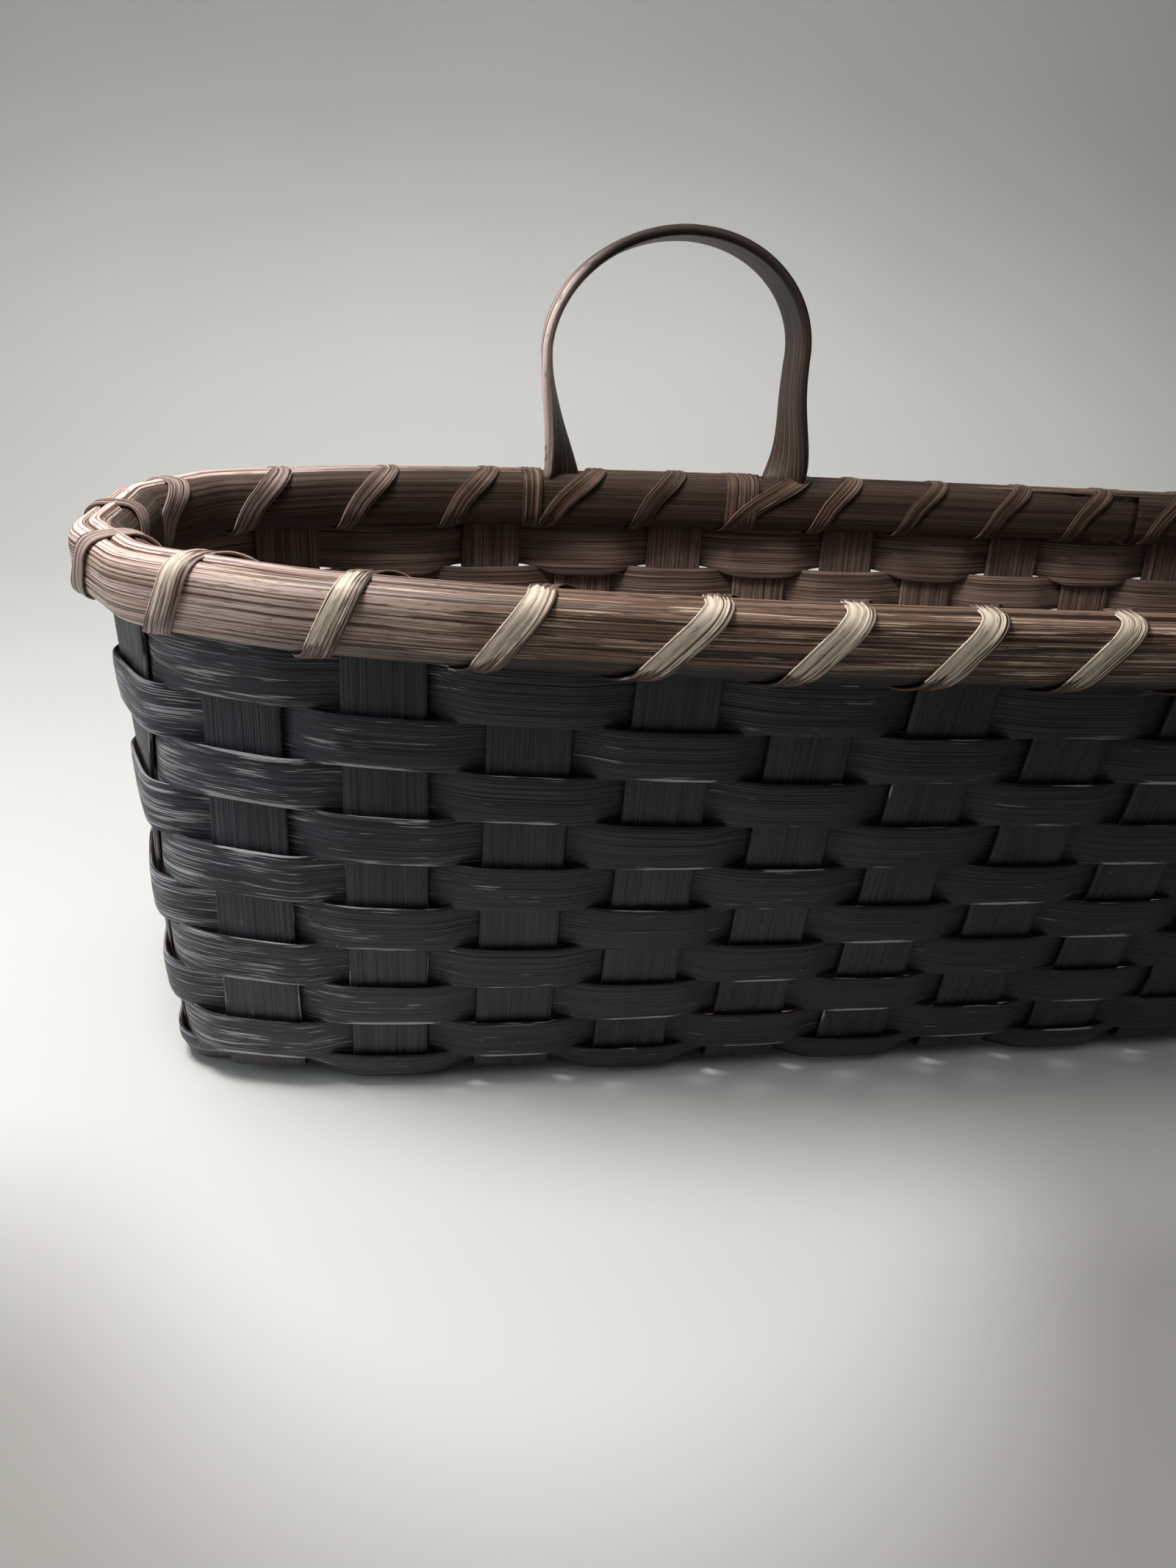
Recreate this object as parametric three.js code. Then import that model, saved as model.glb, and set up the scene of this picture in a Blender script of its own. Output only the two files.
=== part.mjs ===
// Hand-woven wall basket: flat-reed spokes, start-and-stop weavers, a lashed double rim and two
// hanging loops. Millimetres. X runs along the basket, Y from front to back, Z up from the floor.
import * as THREE from 'three';

// Reed stock
const STAKE_WIDTH = 15.9;
const STAKE_THICK = 1.3;
const WEAVER_WIDTH = 9.5;
const WEAVER_THICK = 1.1;
const START_ROW_WIDTH = 3.8;
const RIM_HEIGHT = 12.7;
const RIM_THICK = 3.4;
const RIM_EDGE_ROUND = 1.15;
const RIM_ROUND_SLOPE = 1.8;
const FILLER_RADIUS = 2.0;
const LASH_WIDTH = 4.8;
const LASH_THICK = 0.9;
const LASH_OUTER_SLACK = 0.2;
const LASH_INNER_SLACK = 0.95;

// Clearances
const FIT_GAP = 0.3;
const EDGE_CLEAR = 0.4;
const FOOT_CLEAR = 0.6;
const PINCH_CLEAR = 0.75;

// Base
const CROSS_COUNT = 17;
const CROSS_PITCH = 25.7;
const LONG_COUNT = 3;
const LONG_PITCH = 25.7;

// Wall: a superellipse round the base spokes that opens to another at the rim
const END_REACH = 17.7;
const SIDE_REACH = 21.0;
const END_FLARE = 10.5;
const SIDE_FLARE = 16.9;
const FLOOR_SQUARENESS = 9.0;
const MOUTH_SQUARENESS = 3.04;
const WALL_BULGE = 0.9;
const BEND_RISE = 2.7;
const BEND_STEPS = 3;
const SLOPE_STEP = 1;
const SIDE_WALL_STEPS = 3;
const CORNER_SPOKES = 4;
const CORNER_WALL_STEPS = 6;
const END_WALL_STEPS = 12;

// Rows, from the base up
const ROW_COUNT = 10;
const ROW_GAP = 0.45;
const START_ROW_CLEAR = 0.9;
const START_ROW_TUCK = 1.8;
const LASH_SLOT = 2.25;
const FILLER_DROP = 1.4;
const ROW_LAP = 2;
const ROW_START_SUM = 16;

// Rim joints
const SCARF_FEATHER = 0.5;
const SCARF_SPOKE = 10;

// Hanging loops
const LOOP_SPOKE_OFFSET = 4;
const FOOT_REACH = 4.8;
const LOOP_SET = 1.9;
const FOOT_WIDTH = 11;
const FOOT_THICK = 1.1;
const FOOT_RISE = 2;
const LOOP_WIDTH = 12;
const LOOP_THICK = 2.8;
const LOOP_BELLY = 4.4;
const LOOP_SHOULDER = 30;
const LOOP_CROWN = 28.6;
const LOOP_ARC_STEPS = 8;

// Lashing: where each turn crosses the rim top, as a share of the spoke it passes
const LASH_CROSSING = 0.55;
const LASH_CROSSING_BEFORE_FOOT = 0.32;
const LASH_CROSSING_AFTER_FOOT = 0.87;
// Stops this far apart along the lash belong to different runs of it
const LASH_RUN_STOPS = 4;

const HALF_COUNT = (CROSS_COUNT + 1) / 2;
const FLOOR_HALF_LENGTH = (CROSS_COUNT - 1) / 2 * CROSS_PITCH + END_REACH;
const FLOOR_HALF_DEPTH = (LONG_COUNT - 1) / 2 * LONG_PITCH + SIDE_REACH;
const MOUTH_HALF_LENGTH = FLOOR_HALF_LENGTH + END_FLARE;
const MOUTH_HALF_DEPTH = FLOOR_HALF_DEPTH + SIDE_FLARE;
const LOW_LEVEL = STAKE_THICK / 2;
const HIGH_LEVEL = LOW_LEVEL + STAKE_THICK + FIT_GAP;
const START_ROW_EDGE = HIGH_LEVEL + STAKE_THICK / 2 + START_ROW_CLEAR;
const START_ROW_HEIGHT = START_ROW_EDGE + START_ROW_WIDTH / 2;
const BEND_TOP = START_ROW_EDGE + BEND_RISE;
const ROW_PITCH = WEAVER_WIDTH + ROW_GAP;
const TOP_ROW_EDGE = START_ROW_EDGE + START_ROW_WIDTH + (ROW_COUNT - 1) * ROW_PITCH;
const TOP_ROW_HEIGHT = TOP_ROW_EDGE - WEAVER_WIDTH / 2;
const RIM_BOTTOM = TOP_ROW_EDGE + LASH_SLOT;
const RIM_TOP = RIM_BOTTOM + RIM_HEIGHT;
const FLAT_HALF = STAKE_WIDTH / 2 + EDGE_CLEAR;
const SIDE_OFFSET = STAKE_THICK / 2 + FIT_GAP + WEAVER_THICK / 2;
const LAYER_STEP = WEAVER_THICK + FIT_GAP;
const RIM_INNER = SIDE_OFFSET + WEAVER_THICK / 2 + FIT_GAP;
const RIM_OUTER = RIM_INNER + RIM_THICK;
const FILLER_HEIGHT = RIM_TOP - FILLER_DROP;
const STAKE_TOP = FILLER_HEIGHT - FILLER_RADIUS - FIT_GAP;
const RIM_ROW_WIDTH = STAKE_TOP - RIM_BOTTOM - FIT_GAP;
const RIM_ROW_HEIGHT = STAKE_TOP - RIM_ROW_WIDTH / 2;
const LASH_PINCH = Math.min(LASH_WIDTH, LONG_PITCH - STAKE_WIDTH - 2 * PINCH_CLEAR);
const LASH_SLOT_HEIGHT = TOP_ROW_EDGE + LASH_SLOT / 2;
const FREEZE_HEIGHT = TOP_ROW_EDGE + FIT_GAP;
const UPRIGHTS = 2 * (CROSS_COUNT + LONG_COUNT);
const FOOT_SPREAD = CROSS_PITCH + FOOT_REACH;
const LOOP_HALF_SPAN = FOOT_SPREAD + LOOP_BELLY;

const paint = new THREE.MeshStandardMaterial({ color: '#1d1e22', roughness: 0.62, metalness: 0 });
paint.name = 'black_paint';
const walnut = new THREE.MeshStandardMaterial({ color: '#5b4438', roughness: 0.66, metalness: 0 });
walnut.name = 'walnut_stain';

const lerp = THREE.MathUtils.lerp;
const vec = (x, y, z) => new THREE.Vector3(x, y, z);

const crossX = (i) => (i - HALF_COUNT) * CROSS_PITCH;
const longY = (j) => (j - (LONG_COUNT + 1) / 2) * LONG_PITCH;

function wallSection(z) {
  const rise = THREE.MathUtils.clamp(z / RIM_TOP, 0, 1);
  const flare = Math.pow(rise, WALL_BULGE);
  const softening = (1 - rise) * (1 - rise);
  return {
    a: lerp(FLOOR_HALF_LENGTH, MOUTH_HALF_LENGTH, flare),
    b: lerp(FLOOR_HALF_DEPTH, MOUTH_HALF_DEPTH, flare),
    n: lerp(MOUTH_SQUARENESS, FLOOR_SQUARENESS, softening),
  };
}

// The spokes stand up in walking order: front left to right, right end, back, left end.
function uprightAt(index) {
  const u = ((index % UPRIGHTS) + UPRIGHTS) % UPRIGHTS;
  if (u < CROSS_COUNT) return { cross: u + 1, side: -1 };
  if (u < CROSS_COUNT + LONG_COUNT) return { long: u - CROSS_COUNT + 1, side: 1 };
  if (u < 2 * CROSS_COUNT + LONG_COUNT) return { cross: 2 * CROSS_COUNT + LONG_COUNT - u, side: 1 };
  return { long: UPRIGHTS - u, side: -1 };
}

const backIndex = (i) => 2 * CROSS_COUNT + LONG_COUNT - i;

function wallPoint(upright, z) {
  const { a, b, n } = wallSection(z);
  if (upright.cross) {
    const x = crossX(upright.cross);
    return vec(x, upright.side * b * Math.pow(1 - Math.pow(Math.abs(x / a), n), 1 / n), z);
  }
  const y = longY(upright.long);
  return vec(upright.side * a * Math.pow(1 - Math.pow(Math.abs(y / b), n), 1 / n), y, z);
}

function wallNormal(point, z) {
  const { a, b, n } = wallSection(z);
  const gx = Math.sign(point.x) * Math.pow(Math.abs(point.x / a), n - 1) / a;
  const gy = Math.sign(point.y) * Math.pow(Math.abs(point.y / b), n - 1) / b;
  return vec(gx, gy, 0).normalize();
}

// Centre, tangent and outward normal of one spoke at height z; straight on above the top row.
function spokeFrame(upright, z) {
  const level = Math.min(z, FREEZE_HEIGHT);
  const centre = wallPoint(upright, level);
  const normal = wallNormal(centre, level);
  const tangent = vec(-normal.y, normal.x, 0);
  if (z > level) {
    const slope = centre.clone().sub(wallPoint(upright, level - SLOPE_STEP));
    centre.addScaledVector(slope, (z - level) / SLOPE_STEP);
  }
  return { centre, normal, tangent };
}

function onSpoke(index, along, out, z) {
  const { centre, normal, tangent } = spokeFrame(uprightAt(index), z);
  return centre.addScaledVector(tangent, along).addScaledVector(normal, out);
}

// A point of the rim line beside spoke `index`: `along` may run past the spoke into the gaps.
function onRail(index, along, out, z) {
  if (Math.abs(along) <= FLAT_HALF) return onSpoke(index, along, out, z);
  const step = Math.sign(along);
  const near = onSpoke(index, step * FLAT_HALF, out, z);
  const far = onSpoke(index + step, -step * FLAT_HALF, out, z);
  return near.lerp(far, (Math.abs(along) - FLAT_HALF) / gapLength(index, step));
}

function gapLength(index, step) {
  const near = onSpoke(index, step * FLAT_HALF, 0, RIM_BOTTOM);
  const far = onSpoke(index + step, -step * FLAT_HALF, 0, RIM_BOTTOM);
  return near.distanceTo(far);
}

// Closed mesh through a row of matching outlines, capped at both ends. A twisted strip has its opposite
// sides split along parallel diagonals, so it keeps its thickness.
function sweep(rings, twisted) {
  const sides = rings[0].length;
  const points = rings.flat();
  const faces = [];
  for (let r = 0; r + 1 < rings.length; r += 1) {
    for (let s = 0; s < sides; s += 1) {
      const a = r * sides + s;
      const b = r * sides + ((s + 1) % sides);
      if (twisted && s >= sides / 2) faces.push([a, b, a + sides], [b, b + sides, a + sides]);
      else faces.push([a, b, b + sides], [a, b + sides, a + sides]);
    }
  }
  const last = (rings.length - 1) * sides;
  for (let s = 1; s + 1 < sides; s += 1) {
    faces.push([0, s + 1, s], [last, last + s, last + s + 1]);
  }
  let volume = 0;
  for (const [a, b, c] of faces) {
    volume += points[a].dot(points[b].clone().cross(points[c]));
  }
  const outward = volume > 0 ? faces : faces.map(([a, b, c]) => [a, c, b]);
  const geometry = new THREE.BufferGeometry().setFromPoints(points);
  geometry.setIndex(outward.flat());
  geometry.computeVertexNormals();
  return geometry;
}

function piece(name, rings, material, twisted = false) {
  const mesh = new THREE.Mesh(sweep(rings, twisted), material);
  mesh.name = name;
  return mesh;
}

function box(centre, halfWidth, halfThick) {
  return [[-1, -1], [1, -1], [1, 1], [-1, 1]].map(([w, t]) =>
    centre.clone().addScaledVector(halfWidth, w).addScaledVector(halfThick, t));
}

function spokeRing(upright, z) {
  const { centre, normal, tangent } = spokeFrame(upright, z);
  return box(centre, tangent.multiplyScalar(STAKE_WIDTH / 2), normal.multiplyScalar(STAKE_THICK / 2));
}

function wallSteps(upright) {
  if (upright.long) return END_WALL_STEPS;
  const fromEnd = Math.min(upright.cross, CROSS_COUNT + 1 - upright.cross);
  return fromEnd <= CORNER_SPOKES ? CORNER_WALL_STEPS : SIDE_WALL_STEPS;
}

// Rings of one turned-up end, from the flat base out to the top of the wall.
function standingRings(upright, flatEnd, level) {
  const foot = spokeFrame(upright, BEND_TOP);
  const climb = foot.centre.clone().sub(wallPoint(upright, BEND_TOP - SLOPE_STEP)).normalize();
  const outward = upright.cross ? vec(0, upright.side, 0) : vec(upright.side, 0, 0);
  const across = vec(-outward.y, outward.x, 0);
  const start = upright.cross
    ? vec(crossX(upright.cross), flatEnd, level)
    : vec(flatEnd, longY(upright.long), level);
  const pull = start.distanceTo(foot.centre);
  const curve = new THREE.CubicBezierCurve3(
    start,
    start.clone().addScaledVector(outward, pull * 0.55),
    foot.centre.clone().addScaledVector(climb, -pull * 0.45),
    foot.centre,
  );
  const rings = [];
  for (let step = 0; step < BEND_STEPS; step += 1) {
    const share = step / BEND_STEPS;
    const heading = curve.getTangent(share);
    const width = across.clone().lerp(foot.tangent, share).normalize();
    const thick = width.clone().cross(heading).normalize();
    if (thick.dot(vec(0, 0, -1)) + thick.dot(outward) < 0) thick.negate();
    const halfWidth = width.multiplyScalar(STAKE_WIDTH / 2);
    const halfThick = thick.multiplyScalar(STAKE_THICK / 2);
    rings.push(box(curve.getPoint(share), halfWidth, halfThick));
  }
  const steps = wallSteps(upright);
  for (let step = 0; step <= steps; step += 1) {
    rings.push(spokeRing(upright, lerp(BEND_TOP, STAKE_TOP, step / steps)));
  }
  return rings;
}

// Flat rings across the base: level over each crossing, ramps in the gaps between.
function baseRings(crossings, place, across, levelAt) {
  const rings = [];
  crossings.forEach((at, c) => {
    for (const edge of [-1, 1]) {
      const centre = place(at + edge * FLAT_HALF, levelAt(c + 1));
      rings.push(box(centre, across.clone().multiplyScalar(STAKE_WIDTH / 2), vec(0, 0, -STAKE_THICK / 2)));
    }
  });
  return rings;
}

const isOver = (i, j) => (i + j) % 2 === 0;
const crossList = Array.from({ length: CROSS_COUNT }, (_, c) => c + 1);
const longList = Array.from({ length: LONG_COUNT }, (_, c) => c + 1);

function crossSpoke(i) {
  const levelAt = (j) => (isOver(i, j) ? HIGH_LEVEL : LOW_LEVEL);
  const reach = longY(LONG_COUNT) + FLAT_HALF;
  const front = standingRings({ cross: i, side: -1 }, -reach, levelAt(1));
  const back = standingRings({ cross: i, side: 1 }, reach, levelAt(LONG_COUNT));
  const base = baseRings(longList.map(longY), (y, z) => vec(crossX(i), y, z), vec(1, 0, 0), levelAt);
  return [...front.reverse().slice(0, -1), ...base, ...turnRings(back.slice(1))];
}

function longSpoke(j) {
  const levelAt = (i) => (isOver(i, j) ? LOW_LEVEL : HIGH_LEVEL);
  const reach = crossX(CROSS_COUNT) + FLAT_HALF;
  const left = standingRings({ long: j, side: -1 }, -reach, levelAt(1));
  const right = standingRings({ long: j, side: 1 }, reach, levelAt(CROSS_COUNT));
  const base = baseRings(crossList.map(crossX), (x, z) => vec(x, longY(j), z), vec(0, -1, 0), levelAt);
  return [...left.reverse().slice(0, -1), ...base, ...turnRings(right.slice(1))];
}

// Half a turn of each outline, so that both ends of a spoke share one corner order.
function turnRings(rings) {
  return rings.map(([p, q, r, s]) => [q, p, s, r]);
}

function passesOutside(index, row) {
  const upright = uprightAt(index);
  const number = upright.cross ?? upright.long + 1;
  return (number + row) % 2 === 0;
}

// One start-and-stop weaver: round the basket once, its ends lapped over `lap` spokes.
function weaverRings({ row, height, width = WEAVER_WIDTH, tuck = 0, lap = ROW_LAP }) {
  const start = backIndex(ROW_START_SUM - row);
  const rings = [];
  for (let pass = 0; pass < UPRIGHTS + lap; pass += 1) {
    const index = start + pass;
    const outside = passesOutside(index, row);
    const firstLap = pass < lap;
    const lastLap = pass >= UPRIGHTS;
    let out = outside ? SIDE_OFFSET : -SIDE_OFFSET - tuck;
    if (firstLap && !outside) out -= LAYER_STEP;
    if (lastLap && outside) out += LAYER_STEP;
    for (const edge of [-1, 1]) {
      const corner = (up, thick) => onSpoke(
        index,
        edge * FLAT_HALF,
        out + thick * WEAVER_THICK / 2,
        height + up * width / 2,
      );
      rings.push([corner(-1, -1), corner(1, -1), corner(1, 1), corner(-1, 1)]);
    }
  }
  return rings;
}

// Half-oval rim strip between two offsets; the rounded face is the one at `face`.
function rimOutline(index, along, back, face) {
  const thick = face - back;
  const round = Math.min(RIM_EDGE_ROUND, Math.abs(thick) * 0.7);
  const shoulder = face - Math.sign(thick) * round;
  const pared = (RIM_EDGE_ROUND - round) * RIM_ROUND_SLOPE;
  const rise = RIM_EDGE_ROUND * RIM_ROUND_SLOPE;
  return [
    [back, RIM_BOTTOM + pared],
    [shoulder, RIM_BOTTOM + pared],
    [face, RIM_BOTTOM + rise],
    [face, RIM_TOP - rise],
    [shoulder, RIM_TOP - pared],
    [back, RIM_TOP - pared],
  ].map(([out, z]) => onSpoke(index, along, out, z));
}

// A rim hoop, its ends pared to a long scarf over two spokes.
function hoopRings(direction) {
  const back = direction * RIM_INNER;
  const face = direction * RIM_OUTER;
  const start = backIndex(SCARF_SPOKE);
  const paring = RIM_THICK - 2 * SCARF_FEATHER - FIT_GAP;
  const lapLength = CROSS_PITCH + 2 * FLAT_HALF;
  const rings = [];
  for (let pass = 0; pass < UPRIGHTS + 2; pass += 1) {
    for (const edge of [-1, 1]) {
      const lapPass = pass < 2 ? pass : pass - UPRIGHTS;
      const share = (lapPass * CROSS_PITCH + (edge + 1) * FLAT_HALF) / lapLength;
      const seam = face - direction * (SCARF_FEATHER + paring * share);
      let inner = back;
      let outer = face;
      if (pass < 2) inner = seam;
      if (pass >= UPRIGHTS) outer = seam - direction * FIT_GAP;
      rings.push(rimOutline(start + pass, edge * FLAT_HALF, inner, outer));
    }
  }
  return rings;
}

// Round filler reed on top of the spokes, from one loop foot to the next.
function fillerRings(from, to) {
  const stops = [from];
  for (let index = from.index; index <= to.index; index += 1) {
    for (const along of [-FLAT_HALF, FLAT_HALF]) {
      const afterStart = index > from.index || along > from.along + FIT_GAP;
      const beforeEnd = index < to.index || along < to.along - FIT_GAP;
      if (afterStart && beforeEnd) stops.push({ index, along });
    }
  }
  stops.push(to);
  return stops.map(({ index, along }) => {
    const ring = [];
    for (let side = 0; side < 6; side += 1) {
      const angle = side * Math.PI / 3;
      const out = FILLER_RADIUS * Math.cos(angle);
      ring.push(onRail(index, along, out, FILLER_HEIGHT + FILLER_RADIUS * Math.sin(angle)));
    }
    return ring;
  });
}

const loopSpokes = [HALF_COUNT - LOOP_SPOKE_OFFSET, HALF_COUNT + LOOP_SPOKE_OFFSET];
const footEdge = FOOT_WIDTH / 2 + FOOT_CLEAR;

// Walking order runs from +X to -X on the back. A loop sits a little past the middle of its spoke.
const footPlace = (side) => LOOP_SET - side * FOOT_REACH;

// Where the filler stops on each side of a foot.
const footStop = (spoke, side, edge) => ({
  index: backIndex(spoke + side),
  along: footPlace(side) + edge * footEdge,
});

function fillerPieces() {
  const [left, right] = loopSpokes;
  const front = { ...footStop(right, 1, -1) };
  front.index += UPRIGHTS;
  return [
    ['rim_filler_front', footStop(left, -1, 1), front],
    ['rim_filler_left_loop', footStop(left, 1, 1), footStop(left, -1, -1)],
    ['rim_filler_middle', footStop(right, -1, 1), footStop(left, 1, -1)],
    ['rim_filler_right_loop', footStop(right, 1, 1), footStop(right, -1, -1)],
  ];
}

function lashCrossing(index) {
  const upright = uprightAt(index);
  if (upright.cross && upright.side > 0) {
    if (loopSpokes.some((spoke) => upright.cross === spoke - 1)) return LASH_CROSSING_BEFORE_FOOT;
    if (loopSpokes.some((spoke) => upright.cross === spoke + 1)) return LASH_CROSSING_AFTER_FOOT;
  }
  return LASH_CROSSING;
}

// Outward direction of the rim line; between two spokes it is square to the straight there.
function railNormal(index, along) {
  const { normal } = spokeFrame(uprightAt(index), RIM_TOP);
  if (Math.abs(along) < FLAT_HALF) return normal;
  const step = Math.sign(along);
  const near = onSpoke(index, step * FLAT_HALF, 0, RIM_TOP);
  const far = onSpoke(index + step, -step * FLAT_HALF, 0, RIM_TOP);
  const run = far.sub(near).multiplyScalar(step);
  const between = vec(run.y, -run.x, 0).normalize();
  return Math.abs(along) > FLAT_HALF ? between : between.add(normal).normalize();
}

// One lashing turn beside spoke `index`: out through the slot, up the face, over and down inside.
function lashTurn(index) {
  const gapBefore = -FLAT_HALF - gapLength(index, -1) / 2;
  const gapAfter = FLAT_HALF + gapLength(index, 1) / 2;
  const over = lerp(-FLAT_HALF, FLAT_HALF, lashCrossing(index));
  const bare = RIM_OUTER + FIT_GAP + LASH_THICK / 2;
  const outer = bare + LASH_OUTER_SLACK;
  const inner = -bare - LASH_INNER_SLACK;
  const edge = RIM_OUTER - RIM_EDGE_ROUND + FIT_GAP;
  const shoulder = RIM_TOP - RIM_EDGE_ROUND * RIM_ROUND_SLOPE;
  const hip = RIM_BOTTOM + RIM_EDGE_ROUND * 0.8;
  const crown = FILLER_HEIGHT + FILLER_RADIUS + FIT_GAP + LASH_THICK / 2;
  const top = RIM_TOP + FIT_GAP + LASH_THICK;
  const rise = (along) => lerp(hip, shoulder, (along - gapBefore) / (over - gapBefore));
  const fall = (along) => lerp(shoulder, hip, (along - over) / (gapAfter - over));
  const climb = lerp(gapBefore, -FLAT_HALF, 0.3);
  const descend = lerp(FLAT_HALF, gapAfter, 0.7);
  const face = (along, out, up) => railNormal(index, along).multiplyScalar(out).setZ(up).normalize();
  return [
    [gapBefore, -edge, LASH_SLOT_HEIGHT, 0, -1, LASH_PINCH],
    [gapBefore, edge, LASH_SLOT_HEIGHT, 0, -1, LASH_PINCH],
    [climb, outer, hip, 1, 0, LASH_PINCH],
    [-FLAT_HALF, outer, rise(-FLAT_HALF), 1, 0, LASH_WIDTH],
    [over - 1.2, outer, shoulder, 1, 0, LASH_WIDTH],
    [over - 0.5, edge, top, 1, 1, LASH_WIDTH],
    [over, 0, crown, 0, 1, LASH_WIDTH],
    [over + 0.5, -edge, top, -1, 1, LASH_WIDTH],
    [over + 1.2, inner, shoulder, -1, 0, LASH_WIDTH],
    [FLAT_HALF, inner, fall(FLAT_HALF), -1, 0, LASH_WIDTH],
    [descend, inner, hip, -1, 0, LASH_PINCH],
  ].map(([along, out, z, sideways, up, width]) => ({
    point: onRail(index, along, out, z),
    face: face(along, sideways, up),
    width,
  }));
}

function lashRings() {
  const stops = [];
  for (let turn = 0; turn < UPRIGHTS; turn += 1) stops.push(...lashTurn(backIndex(SCARF_SPOKE) + turn));
  return stops.map(({ point, face, width }, at) => {
    const before = stops[Math.max(at - 1, 0)].point;
    const after = stops[Math.min(at + 1, stops.length - 1)].point;
    const heading = after.clone().sub(before).normalize();
    const across = heading.clone().cross(face).normalize();
    return box(point, across.multiplyScalar(width / 2), face.clone().multiplyScalar(LASH_THICK / 2));
  });
}

// Least gap from one run of the lash to another, measured on its corner points.
function leastLashGap(rings) {
  let least = Infinity;
  rings.forEach((ring, at) => {
    for (const far of rings.slice(at + LASH_RUN_STOPS).flat()) {
      for (const near of ring) least = Math.min(least, near.distanceTo(far));
    }
  });
  return least;
}

// A loop foot lies flat on the inner face of its spoke, under the inner rim.
function footRings(spoke, side) {
  const index = backIndex(spoke + side);
  const { tangent, normal } = spokeFrame(uprightAt(index), RIM_TOP);
  return [RIM_BOTTOM + FOOT_CLEAR, RIM_TOP + FOOT_RISE].map((z) => ({
    centre: onRail(index, footPlace(side), -SIDE_OFFSET, z),
    across: tangent.clone().multiplyScalar(side * FOOT_WIDTH / 2),
    thick: normal.clone().multiplyScalar(-FOOT_THICK / 2),
  }));
}

// Above its feet a loop turns a quarter, fast at first, so that its front face looks at the opening.
function loopRings(spoke) {
  const rightFoot = footRings(spoke, 1);
  const leftFoot = footRings(spoke, -1);
  const right = rightFoot[1].centre;
  const left = leftFoot[1].centre;
  const axis = right.clone().sub(left).normalize();
  const depth = vec(-axis.y, axis.x, 0);
  const middle = left.clone().lerp(right, 0.5);
  const at = (q, z) => middle.clone().addScaledVector(axis, q).setZ(z);
  const legTop = RIM_TOP + LOOP_SHOULDER * 0.75;
  const leg = (side) => [0.25, 0.5, 0.75, 1].map((share) => {
    const turn = Math.sqrt(share) * Math.PI / 2;
    const q = side * lerp(LOOP_HALF_SPAN, FOOT_SPREAD, Math.cos(turn));
    const width = lerp(FOOT_WIDTH, LOOP_WIDTH, share) / 2;
    const thick = lerp(FOOT_THICK, LOOP_THICK, share) / 2;
    const sideways = axis.clone().multiplyScalar(-side);
    const across = depth.clone().multiplyScalar(Math.sin(turn)).addScaledVector(sideways, Math.cos(turn));
    const through = sideways.clone().multiplyScalar(Math.sin(turn)).addScaledVector(depth, -Math.cos(turn));
    return {
      centre: at(q, lerp(right.z, legTop, share)),
      across: across.multiplyScalar(width),
      thick: through.multiplyScalar(thick),
    };
  });
  const arch = [];
  for (let step = 0; step <= 2 * LOOP_ARC_STEPS; step += 1) {
    const angle = step / LOOP_ARC_STEPS * Math.PI / 2;
    const outward = axis.clone().multiplyScalar(Math.cos(angle)).setZ(Math.sin(angle)).normalize();
    const rise = LOOP_SHOULDER + LOOP_CROWN * Math.sin(angle);
    arch.push({
      centre: at(LOOP_HALF_SPAN * Math.cos(angle), RIM_TOP + rise),
      across: depth.clone().multiplyScalar(LOOP_WIDTH / 2),
      thick: outward.multiplyScalar(-LOOP_THICK / 2),
    });
  }
  const rings = [...rightFoot, ...leg(1), ...arch, ...leg(-1).reverse(), ...leftFoot.reverse()];
  return rings.map(({ centre, across, thick }) => box(centre, across, thick));
}

const part = new THREE.Group();
part.name = 'wall_basket';
const number = (n) => String(n).padStart(2, '0');
crossList.forEach((i) => part.add(piece(`cross_spoke_${number(i)}`, crossSpoke(i), paint)));
longList.forEach((j) => part.add(piece(`long_spoke_${j}`, longSpoke(j), paint)));
for (let row = 1; row < ROW_COUNT; row += 1) {
  const height = TOP_ROW_HEIGHT - (row - 1) * ROW_PITCH;
  part.add(piece(`weaver_row_${number(row)}`, weaverRings({ row, height }), paint));
}
const startRow = weaverRings({
  row: ROW_COUNT,
  height: START_ROW_HEIGHT,
  width: START_ROW_WIDTH,
  tuck: START_ROW_TUCK,
});
part.add(piece(`weaver_row_${number(ROW_COUNT)}`, startRow, paint));
const rimRow = weaverRings({ row: 0, height: RIM_ROW_HEIGHT, width: RIM_ROW_WIDTH, lap: 0 });
part.add(piece('rim_row', rimRow, paint));
part.add(piece('outer_rim', hoopRings(1), walnut));
part.add(piece('inner_rim', hoopRings(-1), walnut));
fillerPieces().forEach(([name, from, to]) => part.add(piece(name, fillerRings(from, to), walnut)));
const lashing = lashRings();
console.log(`rim_lashing: least gap to itself ${leastLashGap(lashing).toFixed(1)} mm`);
part.add(piece('rim_lashing', lashing, walnut, true));
part.add(piece('hanging_loop_left', loopRings(loopSpokes[0]), walnut, true));
part.add(piece('hanging_loop_right', loopRings(loopSpokes[1]), walnut, true));

export default part;
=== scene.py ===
"""Looks of the hand-woven wall basket: every reed strip as a bowed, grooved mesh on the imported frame.

Sizes of the basket are millimetres and repeat the part's own. Paper and lamps are in metres.
X runs along the basket, Y from front to back and Z up.
"""

import math

import bpy
import numpy as np
from mathutils import Matrix, Vector


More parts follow.
